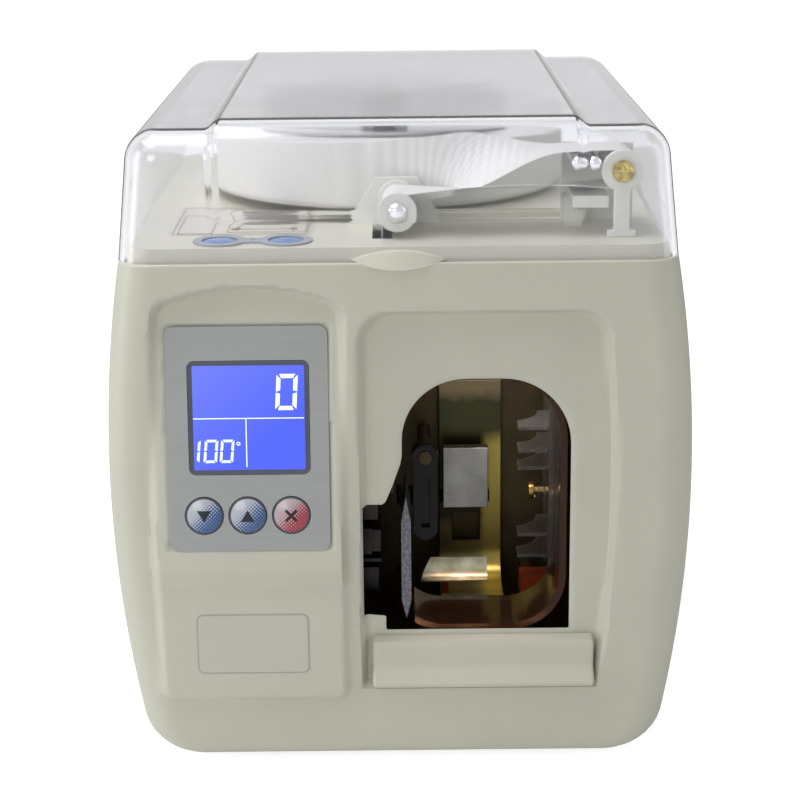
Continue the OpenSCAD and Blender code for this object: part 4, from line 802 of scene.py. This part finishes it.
class OBJECT_OT_strap_cabinet(bpy.types.Operator):
    """Cabinet: one lofted skin, its front drawn out to the display housing and in to the sunk field"""
    bl_idname = "object.strap_cabinet"
    bl_label = "Cabinet"

    def execute(self, context):
        sizes = context.scene.strap_cabinet
        corner = sizes.corner / MM
        heights, ring, opening = cabinet_heights(), cabinet_ring(corner), opening_outline()
        grid = plain_skin(heights, ring, corner)
        hole_half, hole_front, hole_back = 65.5, 50, 230
        hole = np.zeros((len(ring), 3))
        hole[:, 0] = np.clip(grid[0, :, 0], -hole_half, hole_half)
        hole[:, 1] = np.clip(grid[0, :, 1], hole_front, hole_back)
        plain = np.vstack([grid.reshape(-1, 3), hole])[:, [0, 2]]
        shape_front(grid, opening, sizes)
        points = np.vstack([grid.reshape(-1, 3), hole])
        faces = skin_faces(len(heights), len(ring))
        gone = openings(points, plain, faces, opening)
        kept = [face for face, left_out in zip(faces, gone) if not left_out]
        shell = from_points("cabinet_shell", [at(*p) for p in points], kept)
        editing(shell)
        bpy.ops.mesh.select_all(action="SELECT")
        bpy.ops.mesh.remove_doubles(threshold=0.01 * MM)
        bpy.ops.mesh.delete_loose()
        bpy.ops.mesh.select_all(action="SELECT")
        bpy.ops.mesh.normals_make_consistent(inside=False)
        done()
        near_front = at(0, 8, 0).y
        if sum(p.normal.y * p.area for p in shell.data.polygons if p.center.y < near_front) > 0:
            shell.data.flip_normals()
        modified(shell, "SOLIDIFY", thickness=sizes.wall, offset=-1, use_even_offset=False)
        finish(shell, "machine", ["ivory_plastic"], 50, ["housing_shell"])
        plates = [
            # name, measures as round_plate takes them, material
            ("name_plate_bare", (47.2, 26.3, 2.5, -0.25, 0.8, 0.12), "plate_bare"),
            ("name_plate_groove", (48.6, 27.7, 3.1, -0.05, 0.5, 0.04), "groove"),
        ]
        for name, measures, material in plates:
            plate = placed(round_plate(name, *measures), Matrix.Translation(at(-64.3, -3.5, 53.75)))
            finish(plate, "machine", [material])
        return {"FINISHED"}


# ---- Softened mouldings and metal parts ---------------------------------------------

# node: (width of the softened edge in millimetres, material)
SOFTENED = {
    "top_deck": (1.8, "cream_plastic"), "note_rest": (1.8, "ivory_plastic"),
    "rear_panel": (0.5, "ivory_plastic"), "key_base": (0.5, "grey_plastic"),
    "feed_key": (0.4, "key_blue"), "test_key": (0.4, "key_blue"),
    "corner_post": (0.5, "white_plastic"), "corner_roller": (0.5, "white_plastic"),
    "guide_block": (0.7, "white_plastic"), "roller_bracket": (0.5, "white_plastic"),
    "centre_roller": (0.4, "white_plastic"), "centre_pin": (0.2, "bright_steel"),
    "guide_pins": (0.3, "bright_steel"), "reel_platter": (0.5, "white_plastic"),
    "tape_roll": (0.7, "tape_paper"), "tape_core": (0.3, "core_board"),
    "reel_disc": (0.5, "disc_plastic"), "control_panel": (0.15, "panel_paint"),
    # the stop bracket's zinc has painted light and shade in bands
    "note_stop": (0.3, "stop_steel"), "stop_bracket": (0.3, "zinc_painted_light"),
    "note_finger": (1.6, "finger_black"), "side_guide": (0.3, "guide_plastic"),
    "loop_track": (0.5, "smoked_plastic"), "anvil_blade": (0.25, "blade_steel"),
    "main_frame": (0.3, "frame_steel"), "rubber_feet": (0.8, "roller_rubber"),
    "hinge_brackets": (0.25, "zinc_plate"), "power_inlet": (0.5, "dark_plastic"),
    "power_rocker": (0.5, "rocker_red"), "clamp_jaws": (0.3, "blued_steel"),
    "heater_block": (0.3, "blued_steel"), "cutter_blade": (0.1, "blued_steel"),
    "ram_guide": (0.5, "dark_plastic"), "corner_screw": (0.5, "screw_zinc"),
    "head_frame": (0.3, "zinc_plate"), "note_plunger": (0.3, "brass"),
    "power_unit": (1.0, "motor_steel"), "feed_bracket": (0.3, "zinc_plate"),
}
# nodes that pieces made another way stand for
OTHERS = (
    "housing_shell", "hood", "display_window", "down_button", "up_button", "clear_button", "tape_strip",
)


class OBJECT_OT_strap_softened(bpy.types.Operator):
    """Softened pieces: copies of the solids, their sharp edges rounded as moulds and presses leave them"""
    bl_idname = "object.strap_softened"
    bl_label = "Softened pieces"

    def execute(self, context):
        slots = {row["node"]: row["material_slot"] for row in frame["record"]["subparts"]}
        for node, (width, material) in SOFTENED.items():
            thin_and_clear = node == "reel_disc"
            piece = copied(node, node + "_piece", flatten=not thin_and_clear)
            softened(piece, width)
            if node == "corner_screw":
                self.cross_recess(piece)
            finish(piece, node_body(node), [material], 40, [node])
        self.tape_strip()
        for node, solid in NODES.items():
            if node not in SOFTENED and node not in OTHERS:
                solid.data.materials.clear()
                solid.data.materials.append(MATERIALS[slots[node]])
        return {"FINISHED"}

    @staticmethod
    def cross_recess(screw):
        """Cuts the cross for the screwdriver into the screw's head."""
        low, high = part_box("corner_screw")
        middle = (low + high) / 2
        long, short, deep = 5.4, 1.1, 1.1
        for width, height in ((long, short), (short, long)):
            half = Vector((width, 0, height)) * MM / 2
            front = Vector((middle.x, low.y, middle.z))
            before, behind = Vector((0, -1, 0)) * MM, Vector((0, deep, 0)) * MM
            tool = block("cross", front - half + before, front + half + behind)
            cut_away(screw, tool)

    @staticmethod
    def tape_strip():
        """The tape from the roll round the rollers, smoothed, and lifted off the roll's outermost turn."""
        strip = copied("tape_strip", "tape_strip_piece", flatten=False)
        axis, roll_r, lift, reach = at(*REEL_AXIS, 0).xy, ROLL_R * MM, 0.9 * MM, 8 * MM
        for vertex in strip.data.vertices:
            away = vertex.co.xy - axis
            if away.length < roll_r + reach:
                away.length += lift * (1 - (away.length - roll_r) / reach)
                vertex.co.xy = axis + away
        editing(strip)
        bpy.ops.mesh.select_all(action="SELECT")
        any_shape = math.radians(180)
        bpy.ops.mesh.tris_convert_to_quads(face_threshold=math.radians(40), shape_threshold=any_shape)
        bpy.ops.mesh.select_mode(type="EDGE")
        bpy.ops.mesh.select_all(action="DESELECT")
        bpy.ops.mesh.edges_select_sharp(sharpness=math.radians(60))
        bpy.ops.transform.edge_crease(value=1)
        done()
        modified(strip, "SUBSURF", levels=2, render_levels=2)
        finish(strip, "machine", ["tape_paper"], 60, ["tape_strip"])


# ---- Hood --------------------------------------------------------------------------

HOOD_LOW, HOOD_HIGH = 220.2, 274.0
HOOD_FOOT, HOOD_SHOULDER = 116.7, 111.5       # half widths at the lower edge and at the top
HOOD_CORNER = 14.0
FIELD_EDGE = 3                                # half the width of the raised field's soft edge
STEP_LOW, STEP_RISE = 236, 6                  # the front and back step out over this rise
BACK_IN_LOW, BACK_IN_RISE = 262, 12           # and lean back in over this one
LIFT_LOW, LIFT_RISE = 250, 18                 # the raised field's lift grows over this one


class OBJECT_OT_strap_hood(bpy.types.Operator):
    """Hood: a walled box with rounded edges, a raised field over its middle and its hinge eyes"""
    bl_idname = "object.strap_hood"
    bl_label = "Clear hood"

    def execute(self, context):
        sizes = context.scene.strap_hood
        ridge = sizes.ridge_half / MM
        hood = self.leaning_box(sizes.lean / MM, sizes.top_round)
        self.cut_rows(hood, ridge)
        self.raise_field(hood, ridge, sizes.ridge_rise)
        modified(hood, "SOLIDIFY", thickness=sizes.wall, offset=-1, use_even_offset=True)
        cut_away(hood, from_points("notch", *boss_notch()))
        joined(hood, self.eye(-1), self.eye(1))
        finish(hood, "hood_lid", ["clear_plastic"], 32, ["hood"])
        return {"FINISHED"}

    @staticmethod
    def leaning_box(lean, top_round):
        """A box open below, smaller at the top, with its upright and upper edges rounded."""
        hood = block("hood_clear", at(-HOOD_FOOT, 0, HOOD_LOW), at(HOOD_FOOT, CABINET_DEPTH, HOOD_HIGH))
        editing(hood)
        pick(hood, "FACE", lambda f: f.normal.z > 0.9)
        shrink = (HOOD_SHOULDER / HOOD_FOOT, (CABINET_DEPTH - 2 * lean) / CABINET_DEPTH, 1)
        bpy.ops.transform.resize(value=shrink, center_override=at(0, CABINET_DEPTH / 2, HOOD_HIGH))
        least_tall = 40 * MM
        pick(hood, "EDGE", lambda e: abs((e.verts[1].co - e.verts[0].co).z) > least_tall)
        bpy.ops.mesh.bevel(offset=HOOD_CORNER * MM, segments=10, affect="EDGES")
        pick(hood, "FACE", lambda f: f.normal.z > 0.9)
        bpy.ops.mesh.region_to_loop()
        bpy.ops.mesh.bevel(offset=top_round, segments=8, affect="EDGES")
        pick(hood, "FACE", lambda f: f.normal.z < -0.9)
        bpy.ops.mesh.delete(type="ONLY_FACE")
        done()
        return hood

    @staticmethod
    def cut_rows(hood, ridge):
        """Rows of edges along the field's sides and round the walls, so that they can be shaped."""
        steps = (-FIELD_EDGE, -FIELD_EDGE / 2, 0, FIELD_EDGE / 2, FIELD_EDGE)
        cuts = [((side * (ridge + step), 0, 0), (1, 0, 0)) for step in steps for side in (-1, 1)]
        heights = (*range(STEP_LOW, STEP_LOW + STEP_RISE + 1, 2), LIFT_LOW)
        cuts += [((0, 0, z), (0, 0, 1)) for z in heights]
        cuts += [((0, y, 0), (0, 1, 0)) for y in (40, 90, 140, 190, 240)]
        editing(hood)
        for point, normal in cuts:
            bpy.ops.mesh.select_all(action="SELECT")
            bpy.ops.mesh.bisect(plane_co=at(*point), plane_no=normal)
        done()

    @staticmethod
    def raise_field(hood, ridge, rise):
        """Lifts the middle of the top, and lets the front and back stand proud under it."""
        proud = 1.8
        walls = 20                            # the front and back lie this near the hood's ends
        for vertex in hood.data.vertices:
            x = abs(vertex.co.x) / MM
            y = vertex.co.y / MM - FRONT_Y
            z = vertex.co.z / MM - UNDER_Z
            share = float(eased((ridge + FIELD_EDGE - x) / (2 * FIELD_EDGE)))
            lifted = float(eased((z - LIFT_LOW) / LIFT_RISE))
            outward = float(eased((z - STEP_LOW) / STEP_RISE))
            outward *= 1 - float(eased((z - BACK_IN_LOW) / BACK_IN_RISE))
            side = -1 if y < walls else 1 if y > CABINET_DEPTH - walls else 0
            vertex.co.y += side * proud * MM * share * outward
            vertex.co.z += rise * share * lifted

    @staticmethod
    def eye(side):
        """One hinge eye with the web that joins it to the back of the hood."""
        inner, outer, y, z, radius, wall = 64.3, 81.7, 283.8, 222.0, 3.2, 1.62
        bpy.ops.object.select_all(action="DESELECT")
        bpy.ops.mesh.primitive_cylinder_add(
            vertices=32, radius=radius * MM, depth=(outer - inner) * MM, end_fill_type="NOTHING",
            location=at(side * (inner + outer) / 2, y, z), rotation=(0, math.pi / 2, 0))
        eye = bpy.context.object
        bpy.ops.object.transform_apply(location=True, rotation=True, scale=True)
        modified(eye, "SOLIDIFY", thickness=wall * MM, offset=-1)
        left, right = sorted((side * inner, side * outer))
        web = block("web", at(left, 278.2, z + 1.7), at(right, y, z + radius))
        return joined(eye, web)


def boss_notch():
    """Prism of the boss's lens outline with a gap round it, through the hood's front."""
    half, rise, middle, before, behind = 19.8, 4.3, 221.0, -6, 10
    radius = (half ** 2 + rise ** 2) / (2 * rise)
    across = np.linspace(half, -half, 25)
    upper = [(x, middle + rise - radius + math.sqrt(radius ** 2 - x ** 2)) for x in across]
    lower = [(x, middle - rise + radius - math.sqrt(radius ** 2 - x ** 2)) for x in across[::-1]][1:-1]
    ring = upper + lower
    count = len(ring)
    points = [at(x, y, z) for y in (before, behind) for x, z in ring]
    sides = [(i, (i + 1) % count, count + (i + 1) % count, count + i) for i in range(count)]
    return points, [tuple(reversed(range(count))), tuple(range(count, 2 * count)), *sides]


# ---- Display, buttons and films --------------------------------------------------------

LIT_STROKES = {0: "abcdef", 1: "bc"}          # strokes of a seven-part digit, by their usual letters


def rectangle(left, low, right, high):
    """A rectangle's corners, anticlockwise from the lower left."""
    return [(left, low), (right, low), (right, high), (left, high)]


def circle(x, y, radius, count):
    """Points round a circle."""
    turns = [2 * math.pi * i / count for i in range(count)]
    return [(x + radius * math.cos(t), y + radius * math.sin(t)) for t in turns]


def band(x, y, inner, outer, count):
    """A flat ring in short pieces."""
    turns = [2 * math.pi * i / count for i in range(count + 1)]
    pieces = []
    for a, b in zip(turns, turns[1:]):
        corners = ((inner, a), (outer, a), (outer, b), (inner, b))
        pieces.append([(x + r * math.cos(t), y + r * math.sin(t)) for r, t in corners])
    return pieces


def digit_strokes(digit, corner, width, height, stroke, slant):
    """Outlines of a digit's lit strokes from its lower left corner, leaning by a share of the height."""
    gap = stroke * 0.12
    half = height / 2
    point = stroke * 0.3

    def level(base, tip):
        start, stop = stroke * 0.5 + gap, width - stroke * 0.5 - gap
        return [(start, base), (stop, base), (width - stroke - gap, tip), (stroke + gap, tip)]

    def upright(outer, inner, low, high, low_cut, high_cut):
        return [(outer, low), (inner, low + low_cut), (inner, high - high_cut), (outer, high)]

    shapes = {
        "a": level(height, height - stroke),
        "d": level(0, stroke),
        "f": upright(0, stroke, half + gap, height - gap * 2, point, stroke),
        "e": upright(0, stroke, gap * 2, half - gap, stroke, point),
        "b": upright(width, width - stroke, half + gap, height - gap * 2, point, stroke),
        "c": upright(width, width - stroke, gap * 2, half - gap, stroke, point),
    }
    u, v = corner
    return [[(u + x + slant * y, v + y) for x, y in shapes[key]] for key in LIT_STROKES[digit]]


def inked(name, outlines, front, thickness):
    """Flat printed shapes in the panel's frame as thin closed prisms."""
    points, faces = [], []
    for outline in outlines:
        area = sum(a[0] * b[1] - b[0] * a[1] for a, b in zip(outline, outline[1:] + outline[:1]))
        ring = outline if area > 0 else outline[::-1]
        base, count = len(points), len(ring)
        back = base + count
        points += [Vector((u, front + d, v)) * MM for d in (0, thickness) for u, v in ring]
        faces.append(tuple(range(base, back)))
        faces.append(tuple(reversed(range(back, back + count))))
        following = [(i + 1) % count for i in range(count)]
        faces += [(base + k, base + i, back + i, back + k) for i, k in enumerate(following)]
    return from_points(name, points, faces)


class OBJECT_OT_strap_display(bpy.types.Operator):
    """Display: printed film with a window let into it, and the lit digits and dividing lines"""
    bl_idname = "object.strap_display"
    bl_label = "Display"

    def execute(self, context):
        sizes = context.scene.strap_display
        film = round_plate("display_film", 51, 48.5, 2.6, -0.32, 1.3, 0.12)
        frame_width, window_sunk = 1.9, 0.35
        editing(film)
        pick(film, "FACE", lambda f: f.normal.y < -0.95)
        bpy.ops.mesh.inset(thickness=frame_width * MM)
        bpy.ops.transform.translate(value=(0, window_sunk * MM, 0))
        film.data.materials.append(MATERIALS["window_plastic"])
        film.data.materials.append(MATERIALS["display_blue"])
        film.active_material_index = 1
        bpy.ops.object.material_slot_assign()
        done()
        placed(film, PANEL_FRAME @ Matrix.Translation(Vector((0.5, 0, 9.2)) * MM))
        finish(film, "machine", ["window_plastic", "display_blue"], 35, ["display_window"])
        tall, stroke = sizes.digit_height / MM, sizes.stroke / MM
        shapes = digit_strokes(0, (11.6, 12.4), 8.9, tall, stroke, 0.06)
        for u, digit in ((-26.4, 1), (-19.0, 0), (-12.2, 0)):
            shapes += digit_strokes(digit, (u, -9.9), 5.6, 9.9, 1.05, 0.09)
        shapes += [rectangle(-22.9, 8.8, 23.6, 9.2), rectangle(-0.95, -11.8, -0.55, 8.8)]
        shapes += band(-4.1, -1.75, 0.45, 0.85, 10)
        ink = placed(inked("display_digits", shapes, -0.02, 0.12), PANEL_FRAME)
        finish(ink, "machine", ["display_ink"])
        return {"FINISHED"}


DOME_RISE, DOME_TIP = 1.7, -2.1               # the dome over its rim, and its tip behind the panel's face
BUTTON_R, BUTTON_BACK = 7.9, 5.0
DOME_BALL = (BUTTON_R ** 2 + DOME_RISE ** 2) / (2 * DOME_RISE)


def dome_front(r):
    """Depth of the dome's skin behind the panel's face at a distance from its middle."""
    return DOME_TIP + DOME_BALL - math.sqrt(DOME_BALL ** 2 - r ** 2)


class OBJECT_OT_strap_buttons(bpy.types.Operator):
    """Push buttons: one domed button modelled once and copied, each with its own print and sign"""
    bl_idname = "object.strap_buttons"
    bl_label = "Push buttons"

    def execute(self, context):
        step = context.scene.strap_display.halftone_step
        model = self.domed()
        rows = [
            # node, body, slot, dots, print, sign, its ink
            ("down_button", "down_push", "button_blue", "#b4bac2", "#2f5a94", self.arrow(-1), "sign_dark"),
            ("up_button", "up_push", "button_blue", "#b4bac2", "#2f5a94", self.arrow(1), "sign_dark"),
            ("clear_button", "clear_push", "button_red", "#b9a8ae", "#a83042", self.cross(), "sign_red"),
        ]
        above, below = 0.07, -0.3             # the sign's skin and its back, before the dome's skin
        for x, (node, body, slot, silver, tint, sign, sign_ink) in zip(BUTTON_PLACES, rows):
            place = PANEL_FRAME @ Matrix.Translation(Vector((x, 0, BUTTON_UP)) * MM)
            film = "Printed film " + node.split("_")[0]
            MATERIALS[node] = printed_dots(film, place.translation.copy(), silver, tint, step)
            cap = model.copy()
            cap.data = model.data.copy()
            cap.name = node + "_dome"
            context.scene.collection.objects.link(cap)
            placed(cap, place)
            finish(cap, body, ["button_rim", node], 35, [node])
            mark = inked(node + "_sign", sign, 0, 0.5)
            for vertex in mark.data.vertices:
                r = math.hypot(vertex.co.x, vertex.co.z) / MM
                before = above if vertex.co.y < 0.1 * MM else below
                vertex.co.y = (dome_front(r) - before) * MM
            placed(mark, place)
            finish(mark, body, [sign_ink])
        bpy.data.objects.remove(model)
        return {"FINISHED"}

    @staticmethod
    def domed():
        """A button about the origin: a plain rim, a printed dome within it and a closed, drawn-in back."""
        bpy.ops.object.select_all(action="DESELECT")
        rim = dome_front(BUTTON_R)
        bpy.ops.mesh.primitive_cylinder_add(
            vertices=64, radius=BUTTON_R * MM, depth=(BUTTON_BACK - rim) * MM,
            location=(0, (BUTTON_BACK + rim) / 2 * MM, 0), rotation=(math.pi / 2, 0, 0))
        model = bpy.context.object
        bpy.ops.object.transform_apply(location=True, rotation=True, scale=True)
        for _ in ("rim", "print"):
            model.data.materials.append(MATERIALS["button_rim"])
        editing(model)
        pick(model, "FACE", lambda f: f.normal.y < -0.9)
        last, print_r = BUTTON_R, 7.2
        for r in (7.55, print_r, 6.2, 5.0, 3.6, 2.0, 0.7):
            bpy.ops.mesh.inset(thickness=(last - r) * MM)
            bpy.ops.transform.translate(value=(0, (dome_front(r) - dome_front(last)) * MM, 0))
            if r == print_r:
                model.active_material_index = 1
                bpy.ops.object.material_slot_assign()
            last = r
        pick(model, "FACE", lambda f: len(f.verts) > 8 and f.normal.y > 0.9)
        bpy.ops.mesh.extrude_region_move(TRANSFORM_OT_translate={"value": (0, 0, 0)})
        bpy.ops.transform.resize(value=(0.3, 1, 0.3), center_override=(0, BUTTON_BACK * MM, 0))
        done()
        return model

    @staticmethod
    def arrow(way):
        """A triangle in level strips, so that it can follow the dome."""
        half, tall, count, least = 3.0, 4.8, 6, 0.05
        shapes = []
        for i in range(count):
            a, b = i / count, (i + 1) / count
            wide_a, wide_b = half * (1 - a), max(half * (1 - b), least)
            z0, z1 = way * (-tall / 2 + tall * a), way * (-tall / 2 + tall * b)
            for left, right in ((-1, -0.5), (-0.5, 0), (0, 0.5), (0.5, 1)):
                base = [(left * wide_a, z0), (right * wide_a, z0)]
                shapes.append([*base, (right * wide_b, z1), (left * wide_b, z1)])
        return shapes

    @staticmethod
    def cross():
        """A times sign in short pieces, so that it can follow the dome."""
        half, thick, count = 3.3, 0.62, 6
        shapes = []
        for turn in (math.pi / 4, -math.pi / 4):
            run = Vector((math.cos(turn), math.sin(turn)))
            side = Vector((-math.sin(turn), math.cos(turn))) * thick
            for i in range(count):
                a = run * (-half + 2 * half * i / count)
                b = run * (-half + 2 * half * (i + 1) / count)
                shapes.append([tuple(a - side), tuple(b - side), tuple(b + side), tuple(a + side)])
        return shapes


class OBJECT_OT_strap_film(bpy.types.Operator):
    """Threading film on the deck, with a drawing of the tape's way from the reel round the rollers"""
    bl_idname = "object.strap_film"
    bl_label = "Threading film"

    def execute(self, context):
        flat = Matrix.Translation(at(-67.2, 63.5, 226)) @ Matrix.Rotation(-math.pi / 2, 4, "X")
        film = placed(round_plate("threading_film", 62, 66, 2, -0.2, 0.25, 0.05), flat)
        finish(film, "machine", ["film_pale"])
        reel_x, reel_y = 11, 4
        lines = [
            *self.border(-29, -31, 29, 31), *self.border(-27, -29, -12, 12), *self.border(-6, -27, 28, 27),
            [(0.6, -2), (1.2, -2), (-2.2, -20), (-2.8, -20)],
            rectangle(-2.8, -20.4, 22, -19.8), rectangle(22, -25, 22.6, -20.4),
            circle(-2.5, -20, 2.2, 16), circle(22.3, -20, 1.9, 16),
            *band(reel_x, reel_y, 4.4, 5, 28),
        ]
        prints = [
            # name, shapes, front, ink
            ("threading_film_lines", lines, -0.3, "film_brown"),
            ("threading_film_disc", [circle(reel_x, reel_y, 12.6, 28)], -0.26, "film_grey"),
        ]
        for name, shapes, front, ink in prints:
            finish(placed(inked(name, shapes, front, 0.1), flat), "machine", [ink])
        return {"FINISHED"}

    @staticmethod
    def border(left, low, right, high):
        """Four thin lines round a rectangle."""
        t = 0.4
        level = [rectangle(left, low, right, low + t), rectangle(left, high - t, right, high)]
        upright = [rectangle(x, low + t, x + t, high - t) for x in (left, right - t)]
        return level + upright


class OBJECT_OT_strap_sensors(bpy.types.Operator):
    """Sensors beside the notes: orange blocks on the side guide's foot and on the bracket's foot"""
    bl_idname = "object.strap_sensors"
    bl_label = "Sensors"

    def execute(self, context):
        rows = [
            # name, lower corner, upper corner
            ("guide_sensor", (54, 54, 53), (67, 64, 62.3)),
            ("foot_sensor", (18.2, 61.5, 49.9), (21.6, 66, 56.6)),
        ]
        for name, low, high in rows:
            body = block(name, at(*low), at(*high))
            editing(body)
            pick(body, "FACE", lambda f: f.normal.y < -0.9)
            bpy.ops.mesh.inset(thickness=0.8 * MM)
            bpy.ops.transform.translate(value=(0, 0.6 * MM, 0))
            done()
            softened(body, 0.35, 2)
            finish(body, "machine", ["sensor_orange"])
        foot = self.turned_foot()
        modified(foot, "SOLIDIFY", thickness=0.8 * MM, offset=-1)
        # the foot's zinc is lightened as a painted highlight along its bend
        finish(foot, "machine", ["zinc_painted_highlight"], 50)
        bar = block("cross_bar", at(12.7, 50, 52.4), at(53.5, 51, 53.4))
        softened(bar, 0.3)
        finish(bar, "machine", ["bright_steel"])
        return {"FINISHED"}

    @staticmethod
    def turned_foot():
        """The sheet foot of the bracket, which turns forwards in a quarter round and widens to the left."""
        left, widening, right = 13.4, 4.6, 39.4
        back, forwards, top, fall = 65.2, 6.5, 67, 9
        rows, columns = 8, 14
        points, faces = [], []
        for i in range(rows + 1):
            turn = math.pi / 2 * i / rows
            start = left - widening * math.sin(turn)
            y, z = back - forwards * (1 - math.cos(turn)), top - fall * math.sin(turn)
            points += [at(start + (right - start) * j / columns, y, z) for j in range(columns + 1)]
        for i in range(rows):
            for j in range(columns):
                k = i * (columns + 1) + j
                faces.append((k, k + columns + 1, k + columns + 2, k + 1))
        return from_points("stop_bracket_foot", points, faces)


# ---- Stage ---------------------------------------------------------------------------------

class OBJECT_OT_strap_stage(bpy.types.Operator):
    """Stage: white paper floor, soft lamps and the camera at the photograph's angle"""
    bl_idname = "object.strap_stage"
    bl_label = "Floor, lamps and camera"

    def execute(self, context):
        bpy.ops.object.select_all(action="DESELECT")
        bpy.ops.mesh.primitive_plane_add(size=8, location=(0, 0, 0))
        floor = context.object
        floor.name = "floor"
        floor.data.materials.append(paper_floor("White paper"))
        rows = [
            # name, place, size, watts, aimed at, all in metres
            ("lamp_top", (-0.45, -0.15, 1.3), (1.0, 0.8), 10.0, (0, 0, 0.2)),
            ("lamp_front", (-0.7, -1.5, 0.7), (0.7, 0.6), 4.6, (0, 0, 0.15)),
            ("lamp_inside", (0.035, -0.1, 0.185), (0.05, 0.015), 0.1, (0.03, -0.09, 0.05)),
            ("lamp_left", (-1.1, -0.35, 0.35), (0.3, 0.9), 3.2, (0, -0.1, 0.15)),
            ("lamp_right", (1.1, -0.3, 0.5), (0.3, 0.9), 1.6, (0, -0.1, 0.15)),
        ]
        for name, place, size, power, aim in rows:
            bpy.ops.object.light_add(type="AREA", location=place)
            lamp = context.object
            lamp.name = name
            lamp.data.shape = "RECTANGLE"
            lamp.data.size, lamp.data.size_y = size
            lamp.data.energy = power
            lamp.rotation_euler = (Vector(aim) - Vector(place)).to_track_quat("-Z", "Y").to_euler()
        context.scene.world = self.white_room()
        context.scene.view_settings.view_transform = "Standard"
        bpy.ops.object.camera_add(location=(0, -0.944, 0.396))
        camera = context.object
        tilt, roll = math.radians(74), math.radians(-0.6)
        camera.rotation_euler = (Matrix.Rotation(tilt, 3, "X") @ Matrix.Rotation(roll, 3, "Z")).to_euler()
        camera.data.lens, camera.data.sensor_width = 90, 36
        camera.data.clip_start, camera.data.clip_end = 0.05, 50
        context.scene.camera = camera
        return {"FINISHED"}

    @staticmethod
    def white_room():
        """White to the eye and through clear plastic, about half as bright in gloss, and dim as a lamp."""
        lamp_strength, gloss_share = 0.28, 0.55
        world = bpy.data.worlds.new("Plain white room")
        world.use_nodes = True
        room = world.node_tree
        path = add_node(room, "ShaderNodeLightPath").outputs
        rays = {0: path["Is Camera Ray"], 1: path["Is Transmission Ray"]}
        seen = add_node(room, "ShaderNodeMath", rays, operation="MAXIMUM").outputs[0]
        gloss = {0: path["Is Glossy Ray"], 1: gloss_share}
        mirrored = add_node(room, "ShaderNodeMath", gloss, operation="MULTIPLY").outputs[0]
        either = add_node(room, "ShaderNodeMath", {0: seen, 1: mirrored}, operation="MAXIMUM").outputs[0]
        background = room.nodes["Background"].inputs
        background["Color"].default_value = (1, 1, 1, 1)
        room.links.new(between(room, either, 0, 1, lamp_strength, 1.0), background["Strength"])
        return world


GROUPS = {
    "strap_cabinet": CabinetSizes, "strap_hood": HoodSizes,
    "strap_display": DisplaySizes, "strap_colours": FinishColours,
}
OPERATORS = (
    OBJECT_OT_strap_cabinet, OBJECT_OT_strap_softened, OBJECT_OT_strap_hood, OBJECT_OT_strap_display,
    OBJECT_OT_strap_buttons, OBJECT_OT_strap_film, OBJECT_OT_strap_sensors, OBJECT_OT_strap_stage,
)


class VIEW3D_PT_strapping(bpy.types.Panel):
    """Lists the machine's pieces with the sizes and colours that can be changed"""
    bl_label = "Strapping machine"
    bl_space_type = "VIEW_3D"
    bl_region_type = "UI"
    bl_category = "Strapping"

    def draw(self, context):
        for operator in OPERATORS:
            self.layout.operator(operator.bl_idname)
        for group in GROUPS:
            box = self.layout.box()
            values = getattr(context.scene, group)
            for key in values.__annotations__:
                box.prop(values, key)


CLASSES = (*GROUPS.values(), *OPERATORS, VIEW3D_PT_strapping)


def register():
    for cls in CLASSES:
        bpy.utils.register_class(cls)
    for group, cls in GROUPS.items():
        setattr(bpy.types.Scene, group, PointerProperty(type=cls))


def unregister():
    for group in GROUPS:
        delattr(bpy.types.Scene, group)
    for cls in reversed(CLASSES):
        bpy.utils.unregister_class(cls)


def main():
    register()
    make_materials()
    for operator in OPERATORS:
        getattr(bpy.ops.object, operator.bl_idname.split(".")[1])()


if __name__ == "__main__":
    main()
